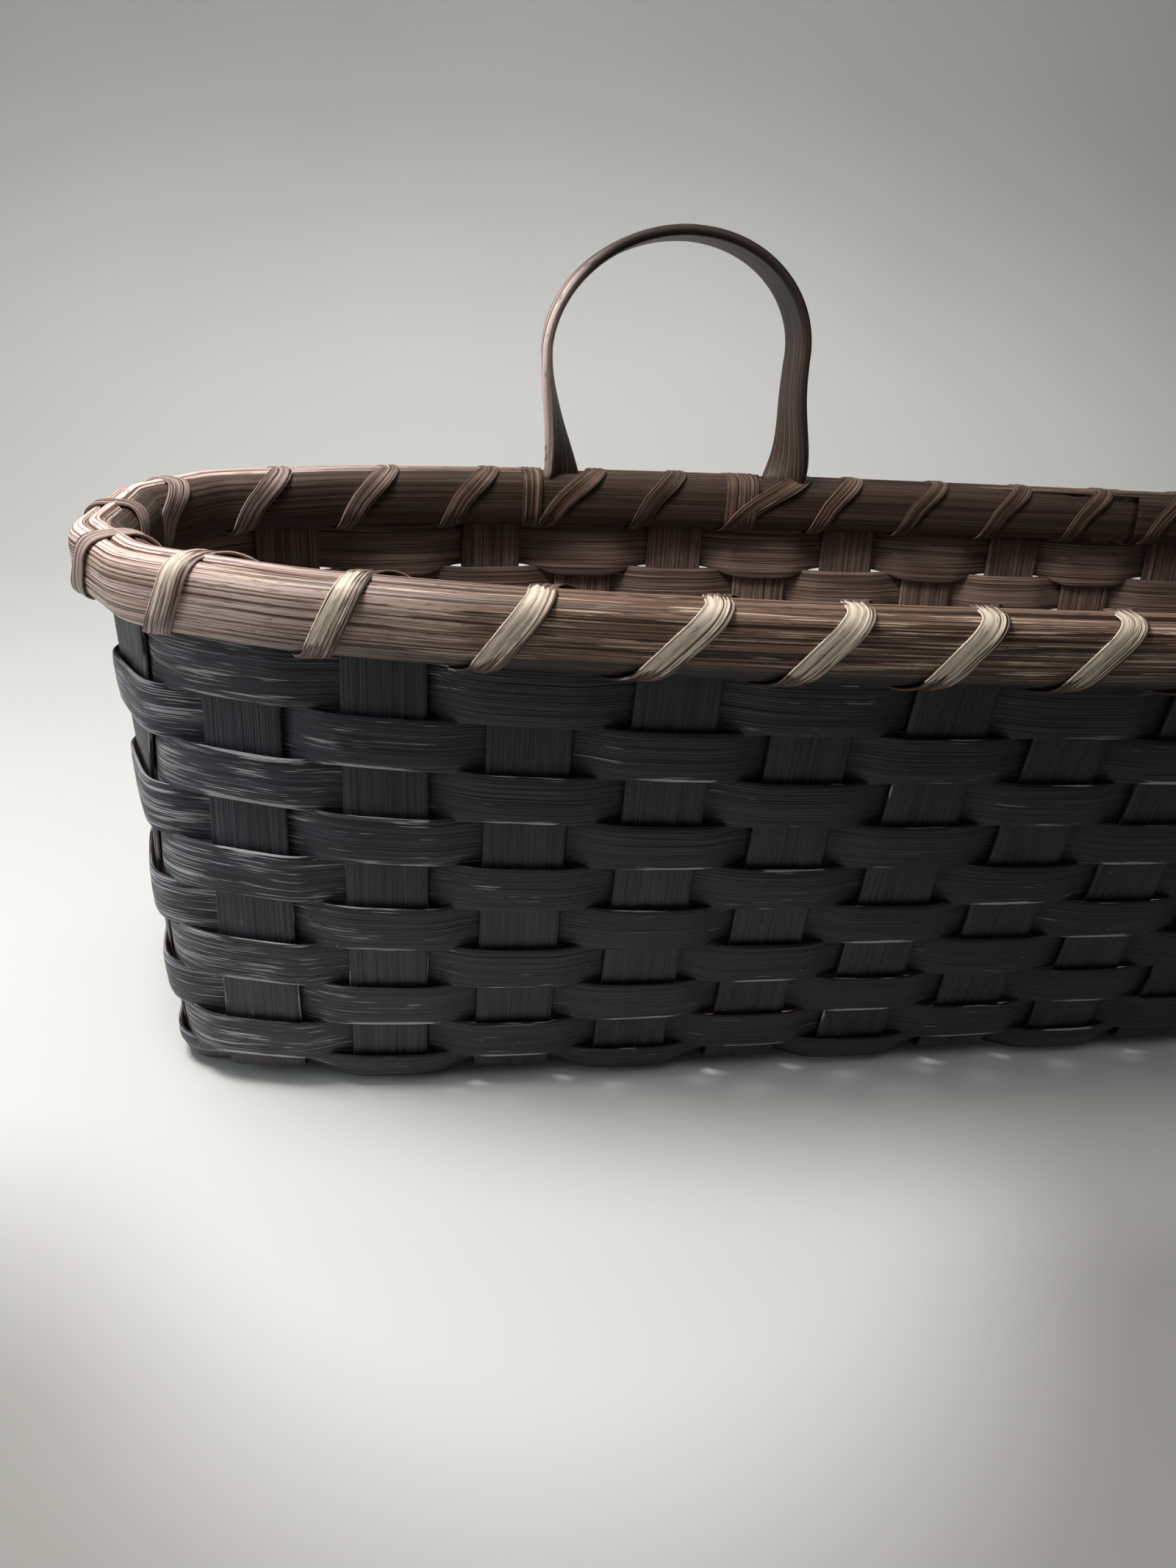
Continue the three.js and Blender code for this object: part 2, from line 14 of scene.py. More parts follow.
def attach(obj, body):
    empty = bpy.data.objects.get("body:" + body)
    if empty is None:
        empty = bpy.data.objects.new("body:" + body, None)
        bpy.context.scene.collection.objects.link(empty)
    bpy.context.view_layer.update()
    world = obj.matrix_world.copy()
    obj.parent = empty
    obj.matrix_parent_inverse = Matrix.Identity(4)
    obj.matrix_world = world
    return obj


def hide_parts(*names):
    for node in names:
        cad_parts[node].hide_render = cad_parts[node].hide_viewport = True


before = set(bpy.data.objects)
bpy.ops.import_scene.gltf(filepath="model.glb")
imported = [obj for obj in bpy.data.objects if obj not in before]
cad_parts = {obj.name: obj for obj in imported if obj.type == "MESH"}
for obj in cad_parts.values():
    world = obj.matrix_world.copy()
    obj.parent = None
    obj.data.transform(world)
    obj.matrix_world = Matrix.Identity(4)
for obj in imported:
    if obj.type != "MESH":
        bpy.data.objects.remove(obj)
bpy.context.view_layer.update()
MM = 0.001
UP = np.array([0.0, 0.0, 1.0])
IN_PLAN = np.array([1.0, 1.0, 0.0])

# Reed stock
STAKE_WIDTH = 15.9
STAKE_THICK = 1.3
WEAVER_WIDTH = 9.5
WEAVER_THICK = 1.1
START_ROW_WIDTH = 3.8
RIM_HEIGHT = 12.7
RIM_THICK = 3.4
FILLER_RADIUS = 2.0
LASH_WIDTH = 4.8

# Clearances
FIT_GAP = 0.3
EDGE_CLEAR = 0.4
FOOT_CLEAR = 0.6

# Base and wall
CROSS_COUNT = 17
CROSS_PITCH = 25.7
LONG_COUNT = 3
LONG_PITCH = 25.7
END_REACH = 17.7
SIDE_REACH = 21.0
END_FLARE = 10.5
SIDE_FLARE = 16.9
FLOOR_SQUARENESS = 9.0
MOUTH_SQUARENESS = 3.04
WALL_BULGE = 0.9
BEND_RISE = 2.7
SLOPE_STEP = 1.0

# Spokes: pull of the bend at its two ends, and the ramp between two crossings, as shares of each
BEND_OUT_PULL = 0.55
BEND_DOWN_PULL = 0.45
RAMP_BAND = (0.28, 0.44)

# Half of the part of a spoke step in which the wall is flat
FLAT_SHARE = 0.3

# Rows
ROW_COUNT = 10
ROW_GAP = 0.45
ROW_LAP = 2
ROW_START_SUM = 16
WEAVE_SWING = 1.66
WEAVER_TUCK = 2.6
TUCK_SHARPNESS = 1.5
TOP_ROW_ROOM = 1.6
START_ROW_CLEAR = 0.9
START_ROW_COVER = 1.0
START_ROW_FOOT = 0.15
START_ROW_DRAW = 2.6
START_ROW_TUCK = 1.6

# Where the lapped ends of a row change layer, in spoke steps
LAP_FIRST_END = 0.2
LAP_LAST_START = 0.8
LAP_CHANGE = 0.4

# Rim
LASH_SLOT = 2.25
FILLER_DROP = 1.4
FILLER_SWELL = 0.1
SCARF_FEATHER = 0.5
SCARF_SPOKE = 10
RIM_OVAL = 3.2
RIM_LIP = 1.15
RIDGE_SPREAD = 0.125

# Hanging loops
LOOP_SPOKE_OFFSET = 4
FOOT_REACH = 4.8
LOOP_SET = 1.9
FOOT_WIDTH = 11.0
FOOT_THICK = 1.1
LOOP_WIDTH = 12.0
LOOP_THICK = 2.8
LOOP_BELLY = 4.4
LOOP_SHOULDER = 30.0
LOOP_CROWN = 28.6

# How far a loop leans to the left, how far its legs draw in, and how far its back edge is skewed
LOOP_SWAY = 2.6
LOOP_SWAY_LENGTH = 26.0
LOOP_DRAW = 0.5
LOOP_DRAW_LENGTH = 20.0
LOOP_SKEW = 0.04

# Twist of a leg: its angle at the rim, the lengths over which the rest follows, where it widens
LOOP_RIM_TURN = math.radians(36)
LEFT_TURN_LENGTH = 19.0
RIGHT_TURN_LENGTH = 9.0
FOOT_TURN_LENGTH = 6.0
FOOT_FREE_BAND = (-5.0, 6.0)

# Lashing: a turn starts under the rim, and its places are shares of the turn or of the spoke's flat
LASH_CROSSING = 0.55
LASH_CROSSING_LEFT_FOOT = 0.35
LASH_RIGHT_FOOT_CLEAR = 1.4
LASH_VISIBLE_THICK = 0.6
LASH_SLACK = 0.42
LASH_LEAN = 0.74
LASH_UNDER = 0.22
LASH_UNDER_TURN = 0.12
LASH_STRANDS = 7
LASH_STRAND_HEIGHT = 0.06
LASH_STRAND_EDGE = 0.95
LASH_PINCH = (0.80, 1.05)
LASH_PINCH_TURN = 0.20

# Some turns of the hand-wound lash stray from their place: upright in walking order, spoke steps
LASH_STRAY = {0: -0.27, 1: -0.17, 3: 0.13, 4: 0.07}

# Upright wraps beside the loop feet: (foot, millimetres left of the foot's middle)
FOOT_WRAPS = ((-1, 8.5), (1, 8.7), (1, 13.0))
WRAP_TURN = (0.02, 1.08)
WRAP_LEAN = 0.05
WRAP_SLACK = 0.30

# Mesh steps
BASE_STEP = 2.6
BEND_SAMPLES = 14
WALL_SAMPLES = 46
ROW_STEPS_PER_SPOKE = 18
HOOP_STEPS_PER_SPOKE = 14
FILLER_STEPS_PER_SPOKE = 12
LASH_SAMPLES = 44
LOOP_SAMPLES = 190
HOOP_FACE_POINTS = 21
HOOP_BACK_POINTS = 3
FILLER_SIDES = 14
SWEEP_STEPS = 25

# Unevenness of the reed: its size and the length of one wave
STAKE_GROOVE = (0.09, 46.0)
STAKE_WAVER = (0.012, 37.0)
ROW_GROOVE = (0.07, 34.0)
ROW_SAG = (0.16, 33.0)
ROW_SWELL = (0.018, 47.0)
HOOP_GROOVE = (0.03, 55.0)
HOOP_WAVER = (0.12, 45.0)
FILLER_GROOVE = (0.10, 40.0)
LASH_GROOVE = (0.04, 19.0)
LOOP_GROOVE = (0.07, 40.0)
EDGE_STARTS = 0.98
EDGE_GROOVE = 0.3

# Seeds of the random curves and draws, and the first number of each kind of piece
WANDER_KNOTS = 2048
LOW_EDGE_SEED = 11
HIGH_EDGE_SEED = 12
CROWN_SEED = 13
HOOP_WAVER_SEED = 61
LOW_SHADE_SEED = 62
SAG_SEED = 71
SWELL_SEED = 72
TIRED_SEED = 73
STAKE_EDGE_SEED = 90
ROW_GROOVE_SEED = 100
LONG_NUMBER = 30
ROW_NUMBER = 40
HOOP_NUMBER = 80
FILLER_NUMBER = 82
LASH_NUMBER = 90
WRAP_NUMBER = 91
LOOP_NUMBER = 95

# Wear of the paint: least and most; a band is a start and a length in half widths of the strip
STAKE_WEAR = (-0.12, 0.28)
STAKE_EDGE_BAND = (0.95, 0.04)
STAKE_TIRED_HEIGHT = 45.0
ROW_WEAR = 0.15
LOW_EDGE_BAND = (0.80, 0.12)
LOW_EDGE_WEAR = (0.12, 1.04)
LOW_EDGE_RARITY = 1.4
HIGH_EDGE_BAND = (0.86, 0.10)
HIGH_EDGE_WEAR = 0.80
HIGH_EDGE_RARITY = 1.3
CROWN_REACH = 1.35
CROWN_FADE = 3.2
CROWN_SLIDE = 0.2
FRESH_ROWS = 4
TIRED_LEAST = 0.4
TIRED_LENGTH = 60.0
START_ROW_TIRED = 0.5
START_ROW_BLOTCH = (0.4, 60.0)

# Painted light at the left end of the stained rim, its wear, and painted shade along the lower part of its
# outer hoop; a band is a start and a length in millimetres
PAINTED_LIGHT_START = -145.0
PAINTED_LIGHT_END = -238.0
OUTER_HOOP_WEAR = 0.75
INNER_HOOP_WEAR = 0.10
INNER_HOOP_LIT_END = 0.05
FILLER_WEAR = 0.35
LOW_SHADE_BAND = (2.4, 2.6)
LOW_SHADE_WAVER = (0.9, 18.0)

# Wear of the lash, painted light at its left end, and painted shade under the rim and between its strands,
# in shares of a turn
LASH_RUB_RISE = (0.10, 0.12)
LASH_RUB_FALL = (0.54, 0.06)
LASH_UNDER_SHADE_FALL = (0.15, 0.07)
LASH_FRONT_WEAR = (0.22, 0.84)
LASH_BACK_WEAR = (0.20, 0.44)
LASH_LIT_END = 0.6
LASH_LIT_END_RUB_LOSS = 0.35
LASH_EDGE_LEAN = 0.35
LASH_UNDER_SHADE = 0.6
SEAM_SHADE = 0.8
SEAM_SHADE_START = 0.2

# Painted light on the left leg and painted shade on the arch and front edge of a loop, by the height above
# the rim
LOOP_EDGE_BAND = (0.75, 0.2)
LIT_LEG_BAND = (40.0, 15.0)
SHADED_ARCH_BAND = (22.0, 28.0)
LOOP_PAINTED_LIGHT = 0.85
LOOP_PAINTED_SHADE = 0.60
LOOP_EDGE_SHADE = 0.5
LOOP_WEAR_WITH_LIGHT = (0.1, 0.5)

# Colours of the painted weave
BLACK = (0.0040, 0.0041, 0.0045)
CHARCOAL = (0.0090, 0.0098, 0.0120)
SLATE = (0.023, 0.0255, 0.033)
# Painted sheen on the paint at the left end
SHEEN_SLATE = (0.054, 0.057, 0.069)
SILVER = (0.44, 0.43, 0.45)
BROWN = (0.060, 0.036, 0.026)
DARK_WALNUT = (0.095, 0.060, 0.046)
WALNUT = (0.205, 0.134, 0.104)
PALE_WALNUT = (0.36, 0.242, 0.192)

# Colours of the stained rim, lash and loops
DEEP_STAIN = (0.044, 0.026, 0.018)
RIM_BROWN = (0.130, 0.077, 0.053)
INNER_RIM_BROWN = (0.054, 0.033, 0.023)
INNER_RIM_LIGHT = (0.086, 0.053, 0.038)
LASH_BROWN = (0.115, 0.071, 0.050)
LOOP_BROWN = (0.060, 0.037, 0.028)
LOOP_LIGHT = (0.120, 0.074, 0.055)
TAN = (0.26, 0.155, 0.110)
# Painted light: paler, rosier stain at the lit left end
LIT_ROSE_TAN = (0.66, 0.455, 0.415)
LIT_PALE_ROSE = (0.84, 0.690, 0.630)
OAT = (0.62, 0.47, 0.36)
CREAM = (0.94, 0.79, 0.62)

# Grain: millimetres along and across the reed per wave, detail of the noise and a shift of its own
PAINT_FINE = (34.0, 0.34, 2.0, 0.0)
PAINT_BROAD = (80.0, 1.2, 2.0, 11.0)
PAINT_BLOTCH = (13.0, 6.0, 3.0, 23.0)
PAINT_STREAK = (9.0, 0.22, 1.0, 41.0)
PAINT_CLUMP = (12.0, 2.6, 2.0, 57.0)
STAIN_FINE = (60.0, 0.42, 1.0, 5.0)
STAIN_BROAD = (70.0, 1.3, 2.0, 19.0)
STAIN_DASH = (3.5, 0.30, 1.0, 31.0)
STAIN_STREAK = (30.0, 0.40, 1.0, 43.0)
STAIN_CLUMP = (14.0, 3.0, 2.0, 61.0)
GRAIN_ROUGHNESS = 0.55

# Shift of the grain from one piece to the next, and on the back of a loop
GRAIN_SHIFT = 40
GRAIN_STEP = 3.7
BACK_GRAIN_SHIFT = 3 * LOOP_WIDTH

# Paint: its grain, where it is browned or rubbed off, more bare streaks at the left end as painted sheen,
# its shine and its relief
PAINT_FINE_SHARE = 0.65
WARM_BAND = (0.46, 0.66)
WARM_SHARE = 0.5
RUB_STREAK_SHARE = 0.6
RUB_LIMIT = 0.735
RUB_BY_WEAR = 0.42
RUB_BY_LIGHT = 0.15
BARE_EDGE = 0.05
BARE_COVER = 0.9
SPECK_SPACING = 4.5
SPECK_RADIUS = 0.035
SPECK_SHARE = 0.25
PAINT_SHINE = 0.40
PAINT_ROUGHNESS = 0.30
ROUGHNESS_SWING = 0.3
FINE_RELIEF = 0.8
BROAD_RELIEF = 1.2
PAINT_RELIEF = 0.8
RELIEF_DEPTH = 0.0004

# Stain: its grain, how much of it has lifted on each kind of strip, its shine and its relief
STAIN_FINE_SHARE = 0.72
LIFT_STREAK_SHARE = 0.65
LIFT_LIMIT = 0.76
RIM_LIFT = 0.28
INNER_RIM_LIFT = 0.10
LASH_LIFT = 0.44
LOOP_LIFT = 0.12
DASH_BAND = (0.60, 0.68)
DASH_COVER = 0.6
SHADE_COVER = 0.92
STAIN_SHINE = 0.28
STAIN_ROUGHNESS = 0.34
STAIN_RELIEF = 0.25

# Paper sweep
FLOOR_BACK = 0.36
FLOOR_FRONT = -1.6
FLOOR_HALF_WIDTH = 2.2
SWEEP_RADIUS = 0.34
BACKDROP_TOP = 1.5
PAPER = (0.80, 0.795, 0.775)
SHADED_PAPER = (0.36, 0.353, 0.334)
PAPER_ROUGHNESS = 0.85
# Painted shade on the paper: round the near front corner and up the wall
FRONT_CENTRE = (-0.142, -0.020)
FRONT_STRETCH = 0.75
NEAR_BAND = (0.04, 0.12)
CORNER_BAND = (0.073, 0.124)
HIGH_BAND = (0.06, 0.32)
HIGH_SHADE = 0.56
PATCH_SCALE = 3.2
PATCH_SHADE = 0.3

# Lamps: place, target, size, power in watts and colour
WARM_WHITE = (1.0, 0.99, 0.97)
WINDOW_WHITE = (0.88, 0.94, 1.0)
LAMPS = {
    "lamp_above": ((-0.30, -0.04, 0.44), (-0.27, -0.03, 0.0), (0.13, 0.13), 1.72, WARM_WHITE),
    "sky_above": ((-0.10, -0.10, 1.6), (-0.10, 0.05, 0.0), (1.6, 1.6), 6.6, WARM_WHITE),
    "backdrop_lamp": ((0.02, 0.32, 0.38), (0.02, 0.62, 0.06), (0.8, 0.15), 0.70, WARM_WHITE),
    "window_left": ((-1.25, -0.25, 0.42), (-0.2, -0.05, 0.06), (0.5, 0.6), 2.8, WINDOW_WHITE),
}
AIR_COLOUR = (0.9, 0.95, 1.0)
AIR_STRENGTH = 0.05

# Camera: millimetres and radians; its focal length and frame height are in the photograph's pixels
CAMERA_PLACE = (-174.8, -229.56, 161.16)
CAMERA_YAW = 0.18022
CAMERA_PITCH = 0.45019
CAMERA_ROLL = 0.07448
FOCAL_PIXELS = 1450.0
FRAME_PIXELS = 2133.0
SENSOR = 36.0
CAMERA_NEAR = 0.01

# Worked out from the sizes above
HALF_COUNT = (CROSS_COUNT + 1) // 2
FLOOR_HALF_LENGTH = (CROSS_COUNT - 1) / 2 * CROSS_PITCH + END_REACH
FLOOR_HALF_DEPTH = (LONG_COUNT - 1) / 2 * LONG_PITCH + SIDE_REACH
MOUTH_HALF_LENGTH = FLOOR_HALF_LENGTH + END_FLARE
MOUTH_HALF_DEPTH = FLOOR_HALF_DEPTH + SIDE_FLARE
LOW_LEVEL = STAKE_THICK / 2
HIGH_LEVEL = LOW_LEVEL + STAKE_THICK + FIT_GAP
START_ROW_EDGE = HIGH_LEVEL + STAKE_THICK / 2 + START_ROW_CLEAR
START_ROW_TOP = START_ROW_EDGE + START_ROW_WIDTH + START_ROW_COVER
BEND_TOP = START_ROW_EDGE + BEND_RISE
ROW_PITCH = WEAVER_WIDTH + ROW_GAP
TOP_ROW_EDGE = START_ROW_EDGE + START_ROW_WIDTH + (ROW_COUNT - 1) * ROW_PITCH
TOP_ROW_HEIGHT = TOP_ROW_EDGE - WEAVER_WIDTH / 2
RIM_BOTTOM = TOP_ROW_EDGE + LASH_SLOT
RIM_TOP = RIM_BOTTOM + RIM_HEIGHT
RIM_MIDDLE = (RIM_TOP + RIM_BOTTOM) / 2
FLAT_HALF = STAKE_WIDTH / 2 + EDGE_CLEAR
SIDE_OFFSET = STAKE_THICK / 2 + FIT_GAP + WEAVER_THICK / 2
LAYER_STEP = WEAVER_THICK + FIT_GAP
RIM_INNER = SIDE_OFFSET + WEAVER_THICK / 2 + FIT_GAP
RIM_OUTER = RIM_INNER + RIM_THICK
FILLER_HEIGHT = RIM_TOP - FILLER_DROP
STAKE_TOP = FILLER_HEIGHT - FILLER_RADIUS - FIT_GAP
RIM_ROW_WIDTH = STAKE_TOP - RIM_BOTTOM - FIT_GAP
RIM_ROW_HEIGHT = RIM_BOTTOM + RIM_ROW_WIDTH / 2 + FIT_GAP
FREEZE_HEIGHT = TOP_ROW_EDGE + FIT_GAP
UPRIGHTS = 2 * (CROSS_COUNT + LONG_COUNT)
FOOT_SPREAD = CROSS_PITCH + FOOT_REACH
LOOP_HALF_SPAN = FOOT_SPREAD + LOOP_BELLY
LOOP_SPOKES = (HALF_COUNT - LOOP_SPOKE_OFFSET, HALF_COUNT + LOOP_SPOKE_OFFSET)


def lerp(a, b, t):
    return a + (b - a) * t


def ease(t):
    t = np.clip(t, 0.0, 1.0)
    return t * t * (3 - 2 * t)


def rise(x, start, length):
    """0 up to `start` and 1 from `length` past it, smooth between."""
    return ease((x - start) / length)


def fall(x, end, length):
    """1 up to `length` before `end` and 0 from there on, smooth between."""
    return ease((end - x) / length)


def hermite(start, end, start_slope, end_slope, t):
    """Cubic from start to end; the slopes are per unit of t."""
    s = 1 - t
    ends = start * (1 + 2 * t) * s * s + end * (3 - 2 * t) * t * t
    return ends + start_slope * t * s * s - end_slope * s * t * t


def unit(v):
    return v / np.linalg.norm(v, axis=-1, keepdims=True)


def length_along(line):
    """Length of a line of points from its start to each of them."""
    return np.concatenate([[0], np.cumsum(np.linalg.norm(np.diff(line, axis=0), axis=1))])


def wander(seed, x, period):
    """Smooth random curve between -1 and 1, with one free knot per `period` of x."""
    knots = np.random.default_rng(seed).uniform(-1, 1, WANDER_KNOTS)
    place = x / period
    low = np.floor(place).astype(int)
    return lerp(knots[low % WANDER_KNOTS], knots[(low + 1) % WANDER_KNOTS], ease(place - low))


def uneven(seed, along, size, length):
    """Column of random shifts of up to `size` along a strip."""
    return size * wander(seed, along, length)[:, None]


def ridges(seed, along, count, size, length):
    """Lengthwise ridges, slowly changing: one random curve for each corner of an outline."""
    return size * np.stack([wander([seed, k], along, length) for k in range(count)], -1)


# The uprights in walking order: front left to right, right end, back, left end

WALK = np.arange(UPRIGHTS)
ON_RIGHT_END = (WALK >= CROSS_COUNT) & (WALK < CROSS_COUNT + LONG_COUNT)
ON_LEFT_END = WALK >= 2 * CROSS_COUNT + LONG_COUNT
ON_END = ON_RIGHT_END | ON_LEFT_END
WALK_SIDE = np.where((WALK >= CROSS_COUNT) & ~ON_LEFT_END, 1.0, -1.0)
WALK_NUMBER = np.select(
    [WALK < CROSS_COUNT, ON_RIGHT_END, ~ON_LEFT_END],
    [WALK + 1, WALK - CROSS_COUNT + 1, 2 * CROSS_COUNT + LONG_COUNT - WALK],
    UPRIGHTS - WALK,
)


def cross_x(i):
    return (i - HALF_COUNT) * CROSS_PITCH


def long_y(j):
    return (j - (LONG_COUNT + 1) / 2) * LONG_PITCH


WALK_PLACE = np.where(ON_END, long_y(WALK_NUMBER), cross_x(WALK_NUMBER))


def back_walk(i):
    return 2 * CROSS_COUNT + LONG_COUNT - i


# Wall surface


def section_point(u, z):
    """Point and outward normal of the wall at upright u and height z, both flat in plan."""
    share = np.clip(z / RIM_TOP, 0.0, 1.0)
    flare = share ** WALL_BULGE
    a = lerp(FLOOR_HALF_LENGTH, MOUTH_HALF_LENGTH, flare)
    b = lerp(FLOOR_HALF_DEPTH, MOUTH_HALF_DEPTH, flare)
    n = lerp(MOUTH_SQUARENESS, FLOOR_SQUARENESS, (1 - share) ** 2)
    ends = ON_END[u]
    along, across = np.where(ends, b, a), np.where(ends, a, b)
    free = WALK_SIDE[u] * across * (1 - np.abs(WALK_PLACE[u] / along) ** n) ** (1 / n)
    x = np.where(ends, free, WALK_PLACE[u])
    y = np.where(ends, WALK_PLACE[u], free)
    steep = np.stack([
        np.sign(x) * np.abs(x / a) ** (n - 1) / a,
        np.sign(y) * np.abs(y / b) ** (n - 1) / b,
    ], -1)
    return np.stack([x, y], -1), unit(steep)


def upright_line(u, z):
    """Plan point and walking tangent of upright u; straight on above the top row."""
    u, z = np.broadcast_arrays(u % UPRIGHTS, z)
    level = np.minimum(z, FREEZE_HEIGHT)
    point, normal = section_point(u, level)
    below, _ = section_point(u, level - SLOPE_STEP)
    point = point + (point - below) * ((z - level) / SLOPE_STEP)[..., None]
    tangent = np.stack([-normal[..., 1], normal[..., 0]], -1)
    return point, tangent


def on_wall(s, z, out):
    """Points of the wall at walking place s, height z and distance `out` from the spokes' middle.

    A whole number s is the middle of a spoke. The wall is flat over each spoke and turns in the gaps.
    """
    s, z, out = np.broadcast_arrays(s, z, out)
    u = np.floor(s + FLAT_SHARE).astype(int)
    share = s - u
    here, tangent = upright_line(u, z)
    there, next_tangent = upright_line(u + 1, z)
    start = here + tangent * FLAT_HALF
    end = there - next_tangent * FLAT_HALF
    reach = np.linalg.norm(end - start, axis=-1, keepdims=True)
    t = np.clip((share - FLAT_SHARE) / (1 - 2 * FLAT_SHARE), 0, 1)[..., None]
    turn = hermite(start, end, tangent * reach, next_tangent * reach, t)
    blend = hermite(tangent, next_tangent, 0, 0, t)
    in_gap = (share > FLAT_SHARE)[..., None]
    flat = here + tangent * (share / FLAT_SHARE * FLAT_HALF)[..., None]
    heading = unit(np.where(in_gap, blend, tangent))
    normal = np.stack([heading[..., 1], -heading[..., 0]], -1)
    plan = np.where(in_gap, turn, flat) + normal * out[..., None]
    return np.concatenate([plan, z[..., None]], -1)


def walk_place(u, along):
    """Walking place of a point `along` millimetres past the middle of upright u on a straight wall."""
    gap = CROSS_PITCH - 2 * FLAT_HALF
    inside = along / FLAT_HALF * FLAT_SHARE
    beyond = math.copysign(FLAT_SHARE + (abs(along) - FLAT_HALF) / gap * (1 - 2 * FLAT_SHARE), along)
    return u + (inside if abs(along) <= FLAT_HALF else beyond)


# Strip meshes


class Section:
    """Closed outline of a flat strip: `v` runs -1 to 1 across it, `lift` is -1 to 1 through it."""

    def __init__(self, points, crown, edge):
        face = np.sin(np.linspace(-math.pi / 2, math.pi / 2, points))
        back = face[::-1][1:-1]
        self.v = np.concatenate([face, back])
        bulge = lerp(edge, 1.0, (1 - np.abs(self.v) ** crown) ** 0.5)
        self.on_face = np.concatenate([np.ones(points), np.zeros(points - 2)])
        self.lift = np.where(self.on_face > 0, bulge, -bulge)
        self.lift[[0, points - 1]] = 0.0

    def grooves(self, seed, along, size, length):
        """Ridges of the outline's corners, lower at the edges of the strip."""
        share = np.where(np.abs(self.v) < EDGE_STARTS, 1.0, EDGE_GROOVE)
        return ridges(seed, along, len(self.v), size, length) * share


def strip_object(name, rings, grain, finish, material, replaces=None):
    """Closed tube through rings[r, k]; `finish` has three shading values for each corner.

    `grain` is the place along and across the reed and the piece's own number, which shifts its grain.
    """
    name = "reed_" + name
    along, across, number = grain
    reed = (along[:, None], across + GRAIN_SHIFT * number, number)
    count, sides = rings.shape[:2]
    r = np.arange(count - 1)[:, None] * sides
    k = np.arange(sides)[None, :]
    following = (k + 1) % sides
    quads = np.stack([r + k, r + following, r + following + sides, r + k + sides], -1).reshape(-1, 4)
    points = rings.reshape(-1, 3) * MM
    first, second, third, fourth = (points[quads[:, c]] for c in range(4))
    normals = np.cross(third - first, fourth - second)
    last_cap = list(range((count - 1) * sides, count * sides))
    faces = quads.tolist() + [list(range(sides))[::-1], last_cap]
    if np.einsum("ij,ij->", (first + third) / 2 - points.mean(0), normals) < 0:
        faces = [face[::-1] for face in faces]
    mesh = bpy.data.meshes.new(name)
    mesh.from_pydata(points.tolist(), [], faces)
    for label, values in (("reed", reed), ("finish", finish)):
        corners = np.stack([np.broadcast_to(part, (count, sides)) for part in values], -1)
        store = mesh.attributes.new(label, "FLOAT_VECTOR", "POINT")
        store.data.foreach_set("vector", corners.astype(np.float32).ravel())
    mesh.shade_smooth()
    mesh.materials.append(material)
    piece = bpy.data.objects.new(name, mesh)
    bpy.context.scene.collection.objects.link(piece)
    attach(piece, "root")
    if replaces:
        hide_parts(replaces)


# Spokes

STAKE_SECTION = Section(15, crown=9.0, edge=0.3)


def standing_frames(u, start, outward):
    """Centre line and width direction of one turned-up end, from the flat base to the top."""
    foot_plan, foot_tangent = upright_line(u, BEND_TOP)
    below, _ = upright_line(u, BEND_TOP - SLOPE_STEP)
    foot = np.array([*foot_plan, BEND_TOP])
    climb = unit(np.array([*(foot_plan - below), SLOPE_STEP]))
    pull = np.linalg.norm(foot - start)
    base_pull = start + outward * pull * BEND_OUT_PULL
    wall_pull = foot - climb * pull * BEND_DOWN_PULL
    t = np.linspace(0, 1, BEND_SAMPLES, endpoint=False)[:, None]
    s = 1 - t
    bend = s ** 3 * start + 3 * s * s * t * base_pull + 3 * s * t * t * wall_pull + t ** 3 * foot
    z = np.linspace(BEND_TOP, STAKE_TOP, WALL_SAMPLES)
    plan, tangent = upright_line(u, z)
    wall = np.concatenate([plan, z[:, None]], -1)
    across = np.array([-outward[1], outward[0], 0.0])
    width = np.concatenate([
        unit(lerp(across, np.array([*foot_tangent, 0.0]), t)),
        np.concatenate([tangent, np.zeros((len(z), 1))], -1),
    ])
    return np.concatenate([bend, wall]), width


def base_line(crossings, levels, reach):
    """Distances along a spoke and its height there: level at each crossing, ramps between."""
    place = np.linspace(-reach, reach, int(2 * reach / BASE_STEP))
    step = crossings[1] - crossings[0]
    at = np.clip((place - crossings[0]) / step, 0, len(crossings) - 1)
    low = np.minimum(np.floor(at).astype(int), len(crossings) - 2)
    return place, lerp(levels[low], levels[low + 1], rise(at - low, *RAMP_BAND))


def spoke_frames(first_walk, second_walk, direction, place_across, crossings, levels):
    """Centre line, width and face of a spoke: down one wall, across the base, up the other."""
    reach = crossings[-1] + FLAT_HALF
    sideways = np.array([direction[1], -direction[0], 0.0])
    origin = -sideways * place_across
    place, height = base_line(crossings, levels, reach)
    base = origin + place[:, None] * direction + height[:, None] * UP
    first, first_width = standing_frames(first_walk, base[0], -direction)
    second, second_width = standing_frames(second_walk, base[-1], direction)
    centre = np.concatenate([first[::-1], base[1:-1], second])
    flat = np.broadcast_to(sideways, (len(place) - 2, 3))
    width = np.concatenate([first_width[::-1], flat, -second_width])
    heading = unit(np.gradient(centre, axis=0))
    return centre, width, unit(np.cross(heading, width))


